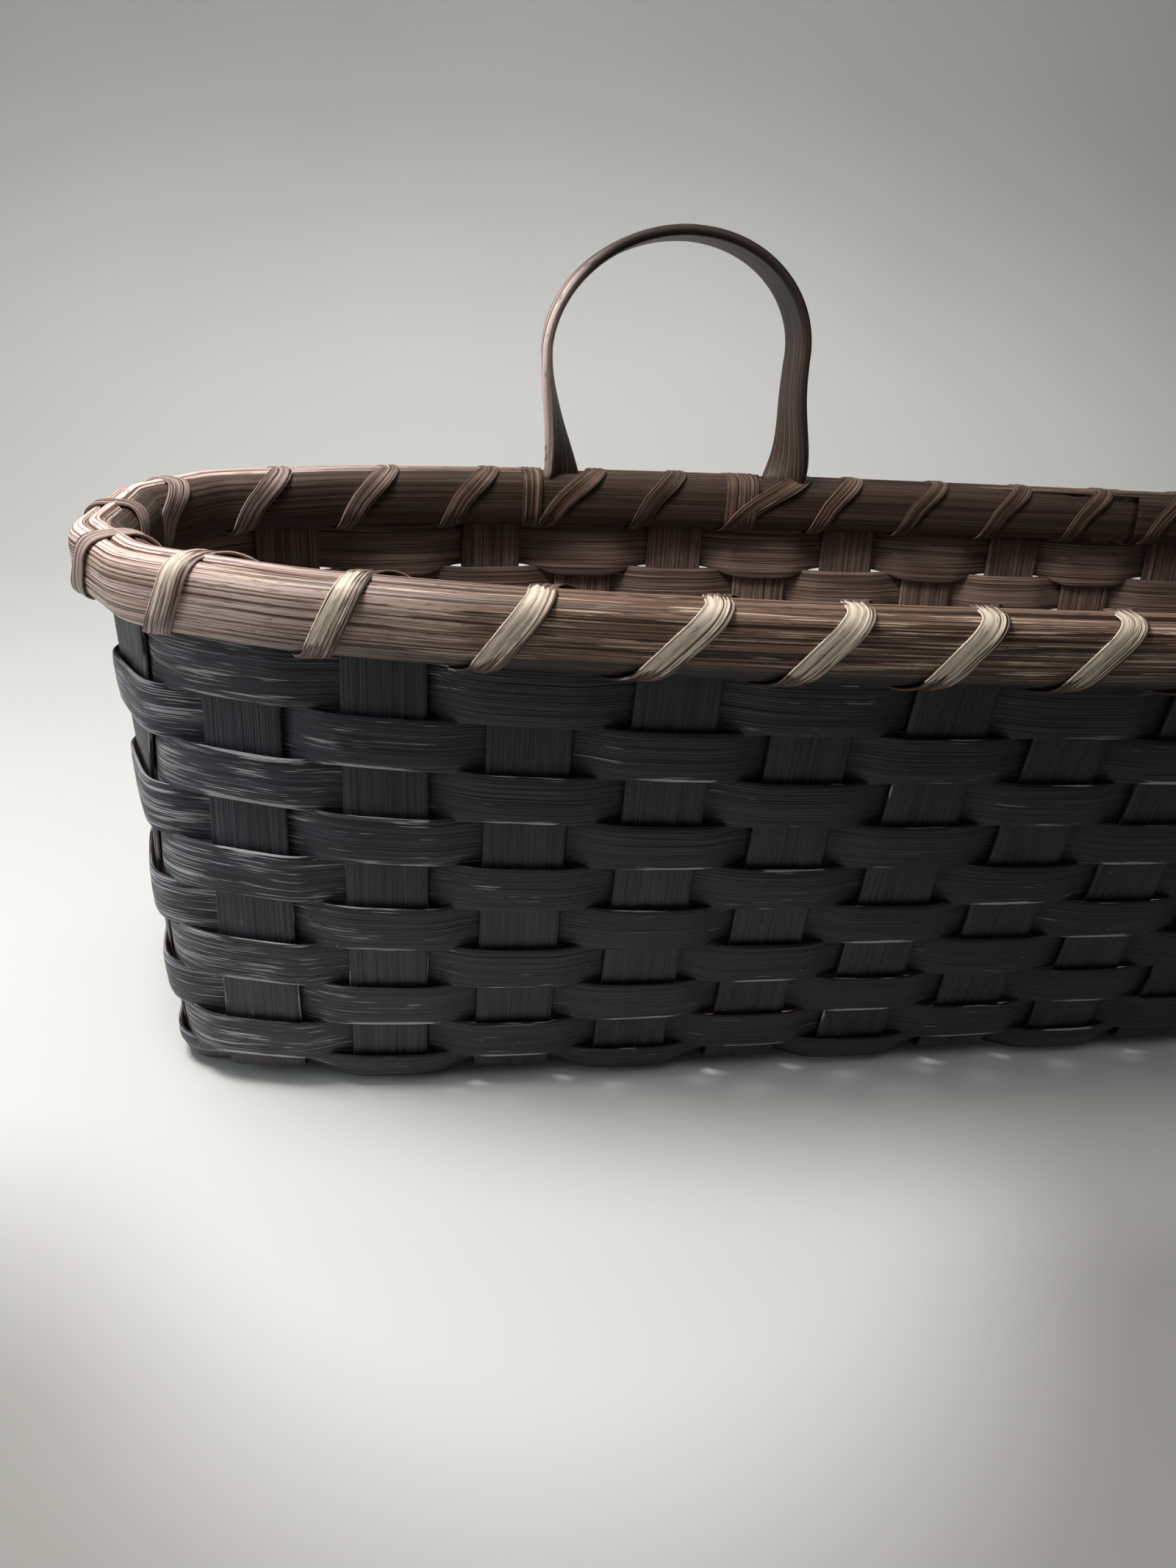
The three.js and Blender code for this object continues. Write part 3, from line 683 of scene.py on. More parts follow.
def spoke_object(name, number, centre, width, face):
    section = STAKE_SECTION
    along = length_along(centre)
    ridge = section.grooves(number, along, *STAKE_GROOVE)
    edge = 1 + uneven([number, STAKE_EDGE_SEED], along, *STAKE_WAVER)
    across = section.v * STAKE_WIDTH / 2 * edge
    lift = section.lift * STAKE_THICK / 2 + ridge * section.lift
    rings = centre[:, None] + width[:, None] * across[..., None] + face[:, None] * lift[..., None]
    rubbed = lerp(*STAKE_WEAR, rise(np.abs(section.v), *STAKE_EDGE_BAND))
    tired = np.clip(1 - centre[:, 2:3] / STAKE_TIRED_HEIGHT, 0, 1)
    finish = (section.on_face, rubbed, tired)
    grain = (along, across, number)
    strip_object(name, rings, grain, finish, PAINTED_REED, name)


def build_spokes():
    cross_list = np.arange(1, CROSS_COUNT + 1)
    long_list = np.arange(1, LONG_COUNT + 1)
    along_y = np.array([0, 1.0, 0])
    along_x = np.array([1.0, 0, 0])
    for i in cross_list:
        levels = np.where((i + long_list) % 2 == 0, HIGH_LEVEL, LOW_LEVEL)
        frames = spoke_frames(i - 1, back_walk(i), along_y, -cross_x(i), long_y(long_list), levels)
        spoke_object(f"cross_spoke_{i:02d}", i, *frames)
    for j in long_list:
        levels = np.where((cross_list + j) % 2 == 0, LOW_LEVEL, HIGH_LEVEL)
        ends = (UPRIGHTS - j, CROSS_COUNT + j - 1)
        frames = spoke_frames(*ends, along_x, long_y(j), cross_x(cross_list), levels)
        spoke_object(f"long_spoke_{j}", LONG_NUMBER + j, *frames)


# Weavers

WEAVER_SECTION = Section(15, crown=3.2, edge=0.2)


def pass_side(u, row):
    """1 where the row passes outside the upright, -1 where it passes inside."""
    u = u % UPRIGHTS
    return np.where((WALK_NUMBER[u] + ON_END[u] + row) % 2 == 0, 1.0, -1.0)


def weave_offset(s, row):
    """Distance of a weaver's middle from the spokes' middle: a wave, flattened on each spoke."""
    u = np.round(s).astype(int)
    return pass_side(u, row) * WEAVE_SWING * np.sin(np.cos((s - u) * math.pi) * math.pi / 2)


def inside_share(out):
    """0 where a weaver lies full outside the spokes, 1 where it lies full inside."""
    return np.clip(0.5 - out / WEAVE_SWING / 2, 0, 1)


def row_places(row, lap):
    """Walking places of one row and its offset, its ends lapped one over the other."""
    start = back_walk(ROW_START_SUM - row)
    last = start + UPRIGHTS + lap - 1
    s = np.linspace(start - FLAT_SHARE, last + FLAT_SHARE, (UPRIGHTS + lap) * ROW_STEPS_PER_SPOKE)
    out = weave_offset(s, row)
    if lap == 0:
        return s, out
    inside = inside_share(out)
    first_lap = fall(s, start + lap - LAP_FIRST_END, LAP_CHANGE)
    last_lap = rise(s, start + UPRIGHTS - LAP_LAST_START, LAP_CHANGE)
    return s, out - LAYER_STEP * inside * first_lap + LAYER_STEP * (1 - inside) * last_lap


def edge_wear(row, s, v):
    """Rubbed edges of a weaver where it bows out over a spoke: more on some spokes than on others."""
    u = np.round(s).astype(int)

    def draw(seed):
        spots = (u % UPRIGHTS).tolist()
        return np.array([np.random.default_rng([seed, row, spot]).random() for spot in spots])

    slide = (draw(CROWN_SEED) - 0.5) * CROWN_SLIDE
    crown = ease(CROWN_REACH - CROWN_FADE * np.abs(s - u - slide)) * (pass_side(u, row) > 0)
    lower = lerp(*LOW_EDGE_WEAR, draw(LOW_EDGE_SEED)[:, None] ** LOW_EDGE_RARITY)
    upper = HIGH_EDGE_WEAR * draw(HIGH_EDGE_SEED)[:, None] ** HIGH_EDGE_RARITY
    bands = rise(-v, *LOW_EDGE_BAND) * lower + rise(v, *HIGH_EDGE_BAND) * upper
    return ROW_WEAR + crown[:, None] * bands


def row_object(name, row, s, out, across, height, tired):
    """Mesh of one row; `out`, `across` and `height` place each corner of its rings."""
    section = WEAVER_SECTION
    along = s * CROSS_PITCH
    ridge = section.grooves(ROW_GROOVE_SEED + row, along, *ROW_GROOVE)
    depth = section.lift * WEAVER_THICK / 2 + ridge * section.lift
    rings = on_wall(s[:, None], height, out + depth)
    finish = (section.on_face, edge_wear(row, s, section.v), tired)
    grain = (along, across, ROW_NUMBER + row)
    strip_object(name, rings, grain, finish, PAINTED_REED, name)


def build_row(name, row, middle, width, lap=ROW_LAP, top_room=0.0):
    """One row: its lower edge is tucked behind the row below wherever the row passes inside."""
    v = WEAVER_SECTION.v
    s, out = row_places(row, lap)
    along = s * CROSS_PITCH
    sag = uneven([row, SAG_SEED], along, *ROW_SAG)
    swell = 1 + uneven([row, SWELL_SEED], along, *ROW_SWELL)
    tuck = WEAVER_TUCK * inside_share(out)[:, None] ** TUCK_SHARPNESS
    across = v * (width / 2 + np.where(v < 0, tuck, top_room)) * swell
    low = np.clip((row - FRESH_ROWS) / (ROW_COUNT - FRESH_ROWS), 0, 1)
    blotch = wander([row, TIRED_SEED], along, TIRED_LENGTH)[:, None] ** 2
    tired = low * lerp(TIRED_LEAST, 1.0, blotch)
    row_object(name, row, s, out[:, None], across, middle + across + sag, tired)


def build_start_row():
    """The lowest row lies in the bend of the spokes, and its foot reaches the floor."""
    row = ROW_COUNT
    s, out = row_places(row, ROW_LAP)
    middle = (START_ROW_TOP + START_ROW_FOOT) / 2
    across = WEAVER_SECTION.v * (START_ROW_TOP - START_ROW_FOOT) / 2
    under = np.clip((BEND_TOP - middle - across) / (BEND_TOP - START_ROW_FOOT), 0, 1)
    inward = -START_ROW_DRAW * under ** 2 - START_ROW_TUCK * under * inside_share(out)[:, None]
    tired = START_ROW_TIRED + uneven([row, TIRED_SEED], s * CROSS_PITCH, *START_ROW_BLOTCH)
    row_object(f"weaver_row_{row:02d}", row, s, out[:, None] + inward, across, middle + across, tired)


def build_rows():
    for row in range(1, ROW_COUNT):
        middle = TOP_ROW_HEIGHT - (row - 1) * ROW_PITCH
        room = TOP_ROW_ROOM if row == 1 else 0.0
        build_row(f"weaver_row_{row:02d}", row, middle, ROW_PITCH, top_room=room)
    build_row("rim_row", 0, RIM_ROW_HEIGHT, RIM_ROW_WIDTH - WEAVER_TUCK, lap=0)
    build_start_row()


# Rim


def oval(angle, half_out, half_up):
    """Squarish oval round the rim's middle line: distance out and height at an angle."""
    power = 2 / RIM_OVAL
    c, s = np.cos(angle), np.sin(angle)
    return np.sign(c) * np.abs(c) ** power * half_out, np.sign(s) * np.abs(s) ** power * half_up


def rim_oval(angle, half_out, half_up):
    """The oval of the real rim, whose lower half hangs a little deeper over the top row."""
    out, up = oval(angle, half_out, half_up)
    return out, np.where(up < 0, up * RIM_LIP, up)


def left_light(rings):
    """Painted light: 1 at the lit left end, falling to 0 along the front."""
    return fall(rings[..., 0], PAINTED_LIGHT_START, PAINTED_LIGHT_START - PAINTED_LIGHT_END)


def hoop_outline():
    """Half-oval outline of a hoop: distance out, height above its middle, and 1 on its round face."""
    limit = math.acos((RIM_INNER / RIM_OUTER) ** (RIM_OVAL / 2))
    out, up = rim_oval(np.linspace(-limit, limit, HOOP_FACE_POINTS), RIM_OUTER, RIM_HEIGHT / 2)
    back = np.linspace(up[-1], up[0], HOOP_BACK_POINTS + 2)[1:-1]
    out = np.concatenate([out, np.full(HOOP_BACK_POINTS, RIM_INNER)])
    up = np.concatenate([up, back])
    on_face = np.concatenate([np.ones(HOOP_FACE_POINTS), np.zeros(HOOP_BACK_POINTS)])
    return out, up, on_face


def scarf_limits(s, start, lap):
    """Least and greatest distance out along a hoop, whose two ends are pared to lap."""
    paring = RIM_THICK - 2 * SCARF_FEATHER - FIT_GAP
    thickest = RIM_OUTER - SCARF_FEATHER
    first_share = np.clip((s - start) / lap, 0, 1)
    last_share = np.clip((s - start - UPRIGHTS) / lap, 0, 1)
    least = np.where(s < start + lap, thickest - paring * first_share, RIM_INNER)
    most = np.where(s > start + UPRIGHTS, thickest - paring * last_share - FIT_GAP, RIM_OUTER)
    return least[:, None], most[:, None]


def hoop_object(name, side, number):
    """One half-oval hoop: round on its face, flat against the wall, its ends pared to a scarf."""
    out, up, on_face = hoop_outline()
    start = back_walk(SCARF_SPOKE) - FLAT_SHARE
    lap = 1 + 2 * FLAT_SHARE
    s = np.linspace(start, start + UPRIGHTS + lap, (UPRIGHTS + 2) * HOOP_STEPS_PER_SPOKE)
    along = s * CROSS_PITCH
    ridge = ridges(number, along, len(out), *HOOP_GROOVE) * on_face
    distance = np.clip(out + ridge, *scarf_limits(s, start, lap))
    waver = uneven([number, HOOP_WAVER_SEED], along, *HOOP_WAVER)
    height = RIM_MIDDLE + up * (1 + ridge * RIDGE_SPREAD) + waver
    rings = on_wall(s[:, None], height, side * distance)
    grain = (along, length_along(np.stack([out, up], -1)), number)
    # Painted light towards the left end
    lit_end = left_light(rings)
    if side > 0:
        # Painted shade along the lower part of the outer hoop's face, none at the lit left end
        shade_waver = uneven([number, LOW_SHADE_SEED], along, *LOW_SHADE_WAVER)
        finish = (lit_end, OUTER_HOOP_WEAR, (1 - lit_end) * rise(shade_waver - up, *LOW_SHADE_BAND))
        material = RIM_REED
    else:
        finish = (lit_end * INNER_HOOP_LIT_END, INNER_HOOP_WEAR, 0.0)
        material = INNER_RIM_REED
    strip_object(name, rings, grain, finish, material, name)


def foot_place(side):
    """Place of a loop foot past the middle of its spoke; a loop sits a little left of its own spoke."""
    return LOOP_SET - side * FOOT_REACH


def foot_stop(spoke, side, edge):
    """Walking place where the filler stops beside a loop foot."""
    return walk_place(back_walk(spoke + side), foot_place(side) + edge * (FOOT_WIDTH / 2 + FOOT_CLEAR))


def filler_object(name, start, last, number):
    angle = np.linspace(0, 2 * math.pi, FILLER_SIDES, endpoint=False)
    steps = max(1, last - start) * FILLER_STEPS_PER_SPOKE
    s = np.linspace(start, last, int(steps))
    along = s * CROSS_PITCH
    radius = FILLER_RADIUS + FILLER_SWELL + ridges(number, along, FILLER_SIDES, *FILLER_GROOVE)
    rings = on_wall(s[:, None], FILLER_HEIGHT + radius * np.sin(angle), radius * np.cos(angle))
    # Painted light towards the left end
    finish = (left_light(rings), FILLER_WEAR, 0.0)
    grain = (along, angle * FILLER_RADIUS, number)
    strip_object(name, rings, grain, finish, RIM_REED, name)


def build_rim():
    hoop_object("outer_rim", 1, HOOP_NUMBER)
    hoop_object("inner_rim", -1, HOOP_NUMBER + 1)
    left, right = LOOP_SPOKES
    fillers = (
        ("rim_filler_front", foot_stop(left, -1, 1), foot_stop(right, 1, -1) + UPRIGHTS),
        ("rim_filler_left_loop", foot_stop(left, 1, 1), foot_stop(left, -1, -1)),
        ("rim_filler_middle", foot_stop(right, -1, 1), foot_stop(left, 1, -1)),
        ("rim_filler_right_loop", foot_stop(right, 1, 1), foot_stop(right, -1, -1)),
    )
    for number, (name, start, last) in enumerate(fillers, FILLER_NUMBER):
        filler_object(name, start, last, number)


# Lashing

LASH_SECTION = Section(15, crown=5.0, edge=0.3)


def lash_crossing(u):
    """Walking place, from upright u, where the lash goes over the rim; it keeps clear of loop feet."""
    u = u % UPRIGHTS
    on_back = not ON_END[u] and WALK_SIDE[u] > 0
    if on_back and WALK_NUMBER[u] + 1 in LOOP_SPOKES:
        return lerp(-FLAT_SHARE, FLAT_SHARE, LASH_CROSSING_LEFT_FOOT)
    if on_back and WALK_NUMBER[u] - 1 in LOOP_SPOKES:
        return walk_place(0, foot_place(1) - FOOT_WIDTH / 2 - LASH_RIGHT_FOOT_CLEAR)
    return lerp(-FLAT_SHARE, FLAT_SHARE, LASH_CROSSING) + LASH_STRAY.get(int(u), 0.0)


def rim_angle(t):
    """Angle round the rim at share t of a turn, which starts under the rim and climbs its face."""
    return lerp(-math.pi / 2, 1.5 * math.pi, t)


def lash_line():
    """Walking place and share of its turn along the whole lash, which has one turn per upright."""
    start = back_walk(SCARF_SPOKE)
    t = np.linspace(0, 1, LASH_SAMPLES, endpoint=False)
    _, up = oval(rim_angle(t), 1.0, 1.0)
    height = (1 + up) / 2
    face_climb = LASH_UNDER * ease(t / LASH_UNDER_TURN) + (1 - LASH_UNDER) * height ** LASH_LEAN
    climb = np.where(t < 0.5, face_climb, 1.0)
    drop = np.where(t < 0.5, 0.0, (1 - height) ** LASH_LEAN)
    places = []
    for u in range(start, start + UPRIGHTS):
        top = lash_crossing(u)
        places.append(u - 0.5 + (top + 0.5) * climb + (0.5 - top) * drop)
    return np.concatenate(places), np.tile(t, UPRIGHTS)


def lash_frames(s, t, slack):
    """Centre line, width and face of a lash wound round the rim at `slack` from it."""
    wide = RIM_OUTER + slack
    tall = RIM_HEIGHT / 2 + slack
    out, up = rim_oval(rim_angle(t), wide, tall)
    centre = on_wall(s, RIM_MIDDLE + up, out)
    heading = unit(np.gradient(centre, axis=0))
    lean_out = np.sign(out) * np.abs(out / wide) ** (RIM_OVAL - 1) / wide
    lean_up = np.sign(up) * np.abs(up / tall) ** (RIM_OVAL - 1) / tall
    outward = unit(on_wall(s, RIM_MIDDLE, 1.0) - on_wall(s, RIM_MIDDLE, 0.0))
    rough_face = outward * lean_out[:, None] + UP * lean_up[:, None]
    face = unit(rough_face - heading * np.einsum("ij,ij->i", rough_face, heading)[:, None])
    return centre, np.cross(heading, face), face


def lash_finish(s, turn, strands, lit_end):
    """Cream where the lash is rubbed, most on the front; painted shade under the rim and between its
    strands, painted light at the left end.
    """
    walk = np.round(s).astype(int) % UPRIGHTS
    front = (WALK_SIDE[walk] < 0) & ~ON_END[walk]
    upper = rise(turn, *LASH_RUB_RISE) * fall(turn, *LASH_RUB_FALL)
    rub = np.where(front, lerp(*LASH_FRONT_WEAR, upper), lerp(*LASH_BACK_WEAR, upper))
    # Less rubbed cream where the left end has painted light
    rub = rub[:, None] * (1 - LASH_LIT_END_RUB_LOSS * lit_end)
    # Painted shade under the rim and in the grooves between strands
    painted_shade = (1 - lit_end) * fall(turn, *LASH_UNDER_SHADE_FALL)[:, None]
    seam_shade = SEAM_SHADE * ease(-strands - SEAM_SHADE_START) * LASH_SECTION.on_face
    worn = rub * (1 - LASH_EDGE_LEAN * LASH_SECTION.v)
    return LASH_LIT_END * lit_end, worn, np.maximum(LASH_UNDER_SHADE * painted_shade, seam_shade)


def lash_object(name, s, t, slack, number, replaces=None):
    """Flat lash of several strands; t is the share of a turn, from under the rim up its face."""
    section = LASH_SECTION
    centre, width, face = lash_frames(s, t, slack)
    along = length_along(centre)
    turn = t % 1.0
    open_share = ease(turn / LASH_PINCH_TURN) * ease((1 - turn) / LASH_PINCH_TURN)
    across = section.v * LASH_WIDTH / 2 * lerp(*LASH_PINCH, open_share)[:, None]
    strands = np.cos(section.v * LASH_STRANDS * math.pi / 2) * (np.abs(section.v) < LASH_STRAND_EDGE)
    lift = section.lift * LASH_VISIBLE_THICK / 2 + section.on_face * LASH_STRAND_HEIGHT * strands
    lift = lift + section.grooves(number, along, *LASH_GROOVE)
    rings = centre[:, None] + width[:, None] * across[..., None] + face[:, None] * lift[..., None]
    finish = lash_finish(s, turn, strands, left_light(rings))
    grain = (along, across, number)
    strip_object(name, rings, grain, finish, LASH_REED, replaces)


def build_lashing():
    s, t = lash_line()
    lash_object("rim_lashing", s, t, LASH_SLACK, LASH_NUMBER, "rim_lashing")
    t = np.linspace(*WRAP_TURN, LASH_SAMPLES)
    for loop, spoke in enumerate(LOOP_SPOKES):
        for wrap, (side, left) in enumerate(FOOT_WRAPS):
            place = walk_place(back_walk(spoke + side), foot_place(side) + left)
            name = f"foot_wrap_{loop + 1}_{wrap + 1}"
            lash_object(name, place + WRAP_LEAN * t, t, WRAP_SLACK, WRAP_NUMBER + wrap)


# Hanging loops

LOOP_SECTION = Section(13, crown=6.0, edge=0.55)


def loop_path(turn_length):
    """Half a loop from foot to crown: sideways distance, height, length above the rim, twist and lean."""
    foot = RIM_BOTTOM + FOOT_CLEAR - RIM_TOP
    leg = np.linspace(foot, LOOP_SHOULDER, LOOP_SAMPLES // 2, endpoint=False)
    angle = np.linspace(0, math.pi / 2, LOOP_SAMPLES // 2)
    above = np.concatenate([leg, LOOP_SHOULDER + LOOP_HALF_SPAN * angle])
    free = math.pi / 2 - (math.pi / 2 - LOOP_RIM_TURN) * np.exp(-np.maximum(above, 0) / turn_length)
    turn = np.where(above < 0, LOOP_RIM_TURN * ease(1 + above / FOOT_TURN_LENGTH), free)
    arch = np.concatenate([np.ones(len(leg)), np.cos(angle)])
    draw = LOOP_DRAW * ease(above / LOOP_DRAW_LENGTH)
    q = (lerp(LOOP_HALF_SPAN, FOOT_SPREAD, np.cos(turn)) - draw) * arch
    z = RIM_TOP + np.concatenate([leg, LOOP_SHOULDER + LOOP_CROWN * np.sin(angle)])
    lean = np.concatenate([np.zeros(len(leg)), angle])
    return q, z, above, turn, lean


def loop_frames(spoke):
    """Centre, half width and thickness of a loop, from its right foot over the crown to its left foot."""
    right = on_wall(walk_place(back_walk(spoke + 1), foot_place(1)), RIM_TOP, -SIDE_OFFSET)
    left = on_wall(walk_place(back_walk(spoke - 1), foot_place(-1)), RIM_TOP, -SIDE_OFFSET)
    axis = unit((right - left) * IN_PLAN)
    depth = np.array([-axis[1], axis[0], 0.0])
    middle = (right + left) / 2 * IN_PLAN
    low, high = on_wall(walk_place(back_walk(spoke), 0.0), np.array([RIM_BOTTOM, RIM_TOP]), -SIDE_OFFSET)
    lean_back = (high - low)[1] / RIM_HEIGHT
    back_edge = unit(depth - UP * lean_back - axis * LOOP_SKEW)

    def half(side, turn_length):
        q, z, above, turn, lean = loop_path(turn_length)
        sway = LOOP_SWAY * ease(above / LOOP_SWAY_LENGTH) * (1 - np.sin(lean))
        centre = middle + axis * (side * q - sway)[:, None] + UP * z[:, None]
        centre = centre + depth * (lean_back * (z - RIM_TOP))[:, None]
        outward = axis * side * np.cos(lean)[:, None] + UP * np.sin(lean)[:, None]
        across = back_edge * np.sin(turn)[:, None] - outward * np.cos(turn)[:, None]
        free = rise(above, *FOOT_FREE_BAND)[:, None]
        return centre, across * lerp(FOOT_WIDTH, LOOP_WIDTH, free) / 2, lerp(FOOT_THICK, LOOP_THICK, free)

    right_half = half(1, RIGHT_TURN_LENGTH)
    left_half = half(-1, LEFT_TURN_LENGTH)
    return [np.concatenate([a, b[-2::-1]]) for a, b in zip(right_half, left_half)]


def loop_finish(height, along, outer):
    """Painted light on the outer face and front edge of the left leg; painted shade on the arch and on the
    front edge elsewhere.
    """
    front_edge = rise(-LOOP_SECTION.v, *LOOP_EDGE_BAND)
    bare = np.maximum(outer, front_edge)
    past_crown = (along > along[-1] / 2)[:, None]
    left_leg = past_crown * (1 - rise(height, *LIT_LEG_BAND))
    arch = rise(height, *SHADED_ARCH_BAND)
    # Painted light on the lit faces of the left leg, painted shade on the arch and front edges
    pale = LOOP_PAINTED_LIGHT * bare * left_leg
    dark = LOOP_PAINTED_SHADE * np.maximum(arch, LOOP_EDGE_SHADE * front_edge) * (1 - left_leg * bare)
    return pale, lerp(*LOOP_WEAR_WITH_LIGHT, pale), dark


def loop_object(name, spoke, number):
    section = LOOP_SECTION
    centre, across, thick = loop_frames(spoke)
    heading = unit(np.gradient(centre, axis=0))
    face = unit(np.cross(across, heading))
    along = length_along(centre)
    lift = section.lift * thick / 2 + section.grooves(number, along, *LOOP_GROOVE) * section.lift
    rings = centre[:, None] + across[:, None] * section.v[:, None] + face[:, None] * lift[..., None]
    girth = section.v * LOOP_WIDTH / 2 + np.where(section.on_face > 0, 0, BACK_GRAIN_SHIFT)
    outer = section.on_face if face[len(face) // 2, 2] > 0 else 1 - section.on_face
    finish = loop_finish(centre[:, 2:3] - RIM_TOP, along, outer)
    grain = (along, girth, number)
    strip_object(name, rings, grain, finish, LOOP_REED, name)


def build_loops():
    for number, (side, spoke) in enumerate(zip(("left", "right"), LOOP_SPOKES), LOOP_NUMBER):
        loop_object(f"hanging_loop_{side}", spoke, number)


# Materials


class Nodes:
    """A material's node tree with short calls for the few node kinds used here."""

    def __init__(self, name):
        self.material = bpy.data.materials.new(name)
        self.material.use_nodes = True
        self.tree = self.material.node_tree
        self.shader = self.tree.nodes["Principled BSDF"]

    def put(self, kind, inputs, **settings):
        """New node of one kind, with its own settings; its inputs are given by name or number."""
        node = self.tree.nodes.new("ShaderNode" + kind)
        for label, value in settings.items():
            setattr(node, label, value)
        for label, value in inputs.items():
            self.join(value, node.inputs[label])
        return node

    def join(self, value, socket):
        if isinstance(value, bpy.types.NodeSocket):
            self.tree.links.new(value, socket)
        else:
            socket.default_value = value

    def math(self, operation, a, b=0.0, clamp=False):
        return self.put("Math", {0: a, 1: b}, operation=operation, use_clamp=clamp).outputs[0]

    def plus(self, a, b):
        return self.math("ADD", a, b)

    def minus(self, a, b):
        return self.math("SUBTRACT", a, b)

    def times(self, a, b):
        return self.math("MULTIPLY", a, b)

    def blend(self, a, b, share):
        """Sum of two numbers, with `share` of the first and the rest of the second."""
        return self.plus(self.times(a, share), self.times(b, 1 - share))

    def split(self, vector):
        return self.put("SeparateXYZ", {"Vector": vector}).outputs

    def read(self, label):
        """One of the mesh's own attributes: three numbers as a vector."""
        return self.put("Attribute", {}, attribute_name=label).outputs["Vector"]

    def position(self):
        """The place of the surface in the world."""
        return self.put("NewGeometry", {}).outputs["Position"]

    def fibre(self, reed, length, breadth, detail, shift):
        """Noise stretched along the reed: `length` by `breadth` millimetres per wave."""
        places = {0: reed, 1: (1 / length, 1 / breadth, GRAIN_STEP), 2: (shift, shift, shift)}
        place = self.put("VectorMath", places, operation="MULTIPLY_ADD").outputs[0]
        noise = {"Vector": place, "Scale": 1.0, "Detail": detail, "Roughness": GRAIN_ROUGHNESS}
        return self.put("TexNoise", noise).outputs[0]

    def specks(self, reed):
        """Small round dots in some of the cells of a loose grid on the reed."""
        place = self.put("VectorMath", {0: reed, "Scale": 1 / SPECK_SPACING}, operation="SCALE").outputs[0]
        cells = self.put("TexVoronoi", {"Vector": place, "Scale": 1.0}).outputs
        chosen = self.math("LESS_THAN", self.split(cells["Color"])[0], SPECK_SHARE)
        return self.times(self.math("LESS_THAN", cells["Distance"], SPECK_RADIUS), chosen)

    def sheen_left_end(self):
        """1 at the left end of the basket, where the paint is drawn lighter as painted sheen, and 0 along
        most of it.
        """
        x = self.split(self.position())[0]
        return self.step(self.times(x, -1.0), -PAINTED_LIGHT_START * MM, -PAINTED_LIGHT_END * MM)

    def step(self, value, low, high):
        """0 below `low`, 1 above `high`, smooth between; the limits may be sockets."""
        limits = {"Value": value, "From Min": low, "From Max": high}
        return self.put("MapRange", limits, interpolation_type="SMOOTHSTEP").outputs[0]

    def ramp(self, value, *stops):
        node = self.put("ValToRGB", {"Fac": value})
        colours = node.color_ramp.elements
        while len(colours) < len(stops):
            colours.new(1.0)
        for element, (place, colour) in zip(colours, stops):
            element.position = place
            element.color = (*colour, 1.0)
        return node.outputs[0]

    def mix(self, share, a, b):
        node = self.put("Mix", {"Factor": share}, data_type="RGBA")
        for socket, colour in ((node.inputs[6], a), (node.inputs[7], b)):
            self.join(colour if isinstance(colour, bpy.types.NodeSocket) else (*colour, 1.0), socket)
        return node.outputs[2]

    def finish(self, colour, roughness, height, relief, shine):
        bump = self.put("Bump", {"Strength": relief, "Distance": RELIEF_DEPTH, "Height": height})
        self.join(colour, self.shader.inputs["Base Color"])
        self.join(roughness, self.shader.inputs["Roughness"])
        self.join(bump.outputs[0], self.shader.inputs["Normal"])
        self.shader.inputs["Specular IOR Level"].default_value = shine
        return self.material


def painted_reed():
    """Black paint outside, walnut stain inside, bare fibre where edges are rubbed, and painted sheen at
    the left end.
    """
    n = Nodes("painted_reed")
    outside, wear, tired = n.split(n.read("finish"))
    reed = n.read("reed")
    fine = n.fibre(reed, *PAINT_FINE)
    broad = n.fibre(reed, *PAINT_BROAD)
    blotch = n.fibre(reed, *PAINT_BLOTCH)
    grain = n.blend(fine, broad, PAINT_FINE_SHARE)
    # Painted sheen: the paint drawn lighter, with more bare streaks, at the left end
    left = n.sheen_left_end()
    paint = n.ramp(grain, (0.40, BLACK), (0.46, CHARCOAL), (0.62, SLATE))
    sheen_paint = n.ramp(grain, (0.38, CHARCOAL), (0.46, SLATE), (0.60, SHEEN_SLATE))
    paint = n.mix(left, paint, sheen_paint)
    stain = n.ramp(grain, (0.40, DARK_WALNUT), (0.50, WALNUT), (0.62, PALE_WALNUT))
    warm = n.times(n.step(blotch, *WARM_BAND), n.times(tired, WARM_SHARE))
    colour = n.mix(outside, stain, n.mix(warm, paint, BROWN))
    streak = n.fibre(reed, *PAINT_STREAK)
    clump = n.fibre(reed, *PAINT_CLUMP)
    rubbed = n.blend(streak, clump, RUB_STREAK_SHARE)
    limit = n.minus(RUB_LIMIT, n.plus(n.times(wear, RUB_BY_WEAR), n.times(left, RUB_BY_LIGHT)))
    bare = n.times(n.step(rubbed, limit, n.plus(limit, BARE_EDGE)), outside)
    bare = n.math("MAXIMUM", bare, n.times(n.specks(reed), outside))
    colour = n.mix(n.times(bare, BARE_COVER), colour, SILVER)
    roughness = n.plus(n.times(blotch, ROUGHNESS_SWING), PAINT_ROUGHNESS)
    height = n.plus(n.times(fine, FINE_RELIEF), n.times(broad, BROAD_RELIEF))
    return n.finish(colour, roughness, height, PAINT_RELIEF, PAINT_SHINE)


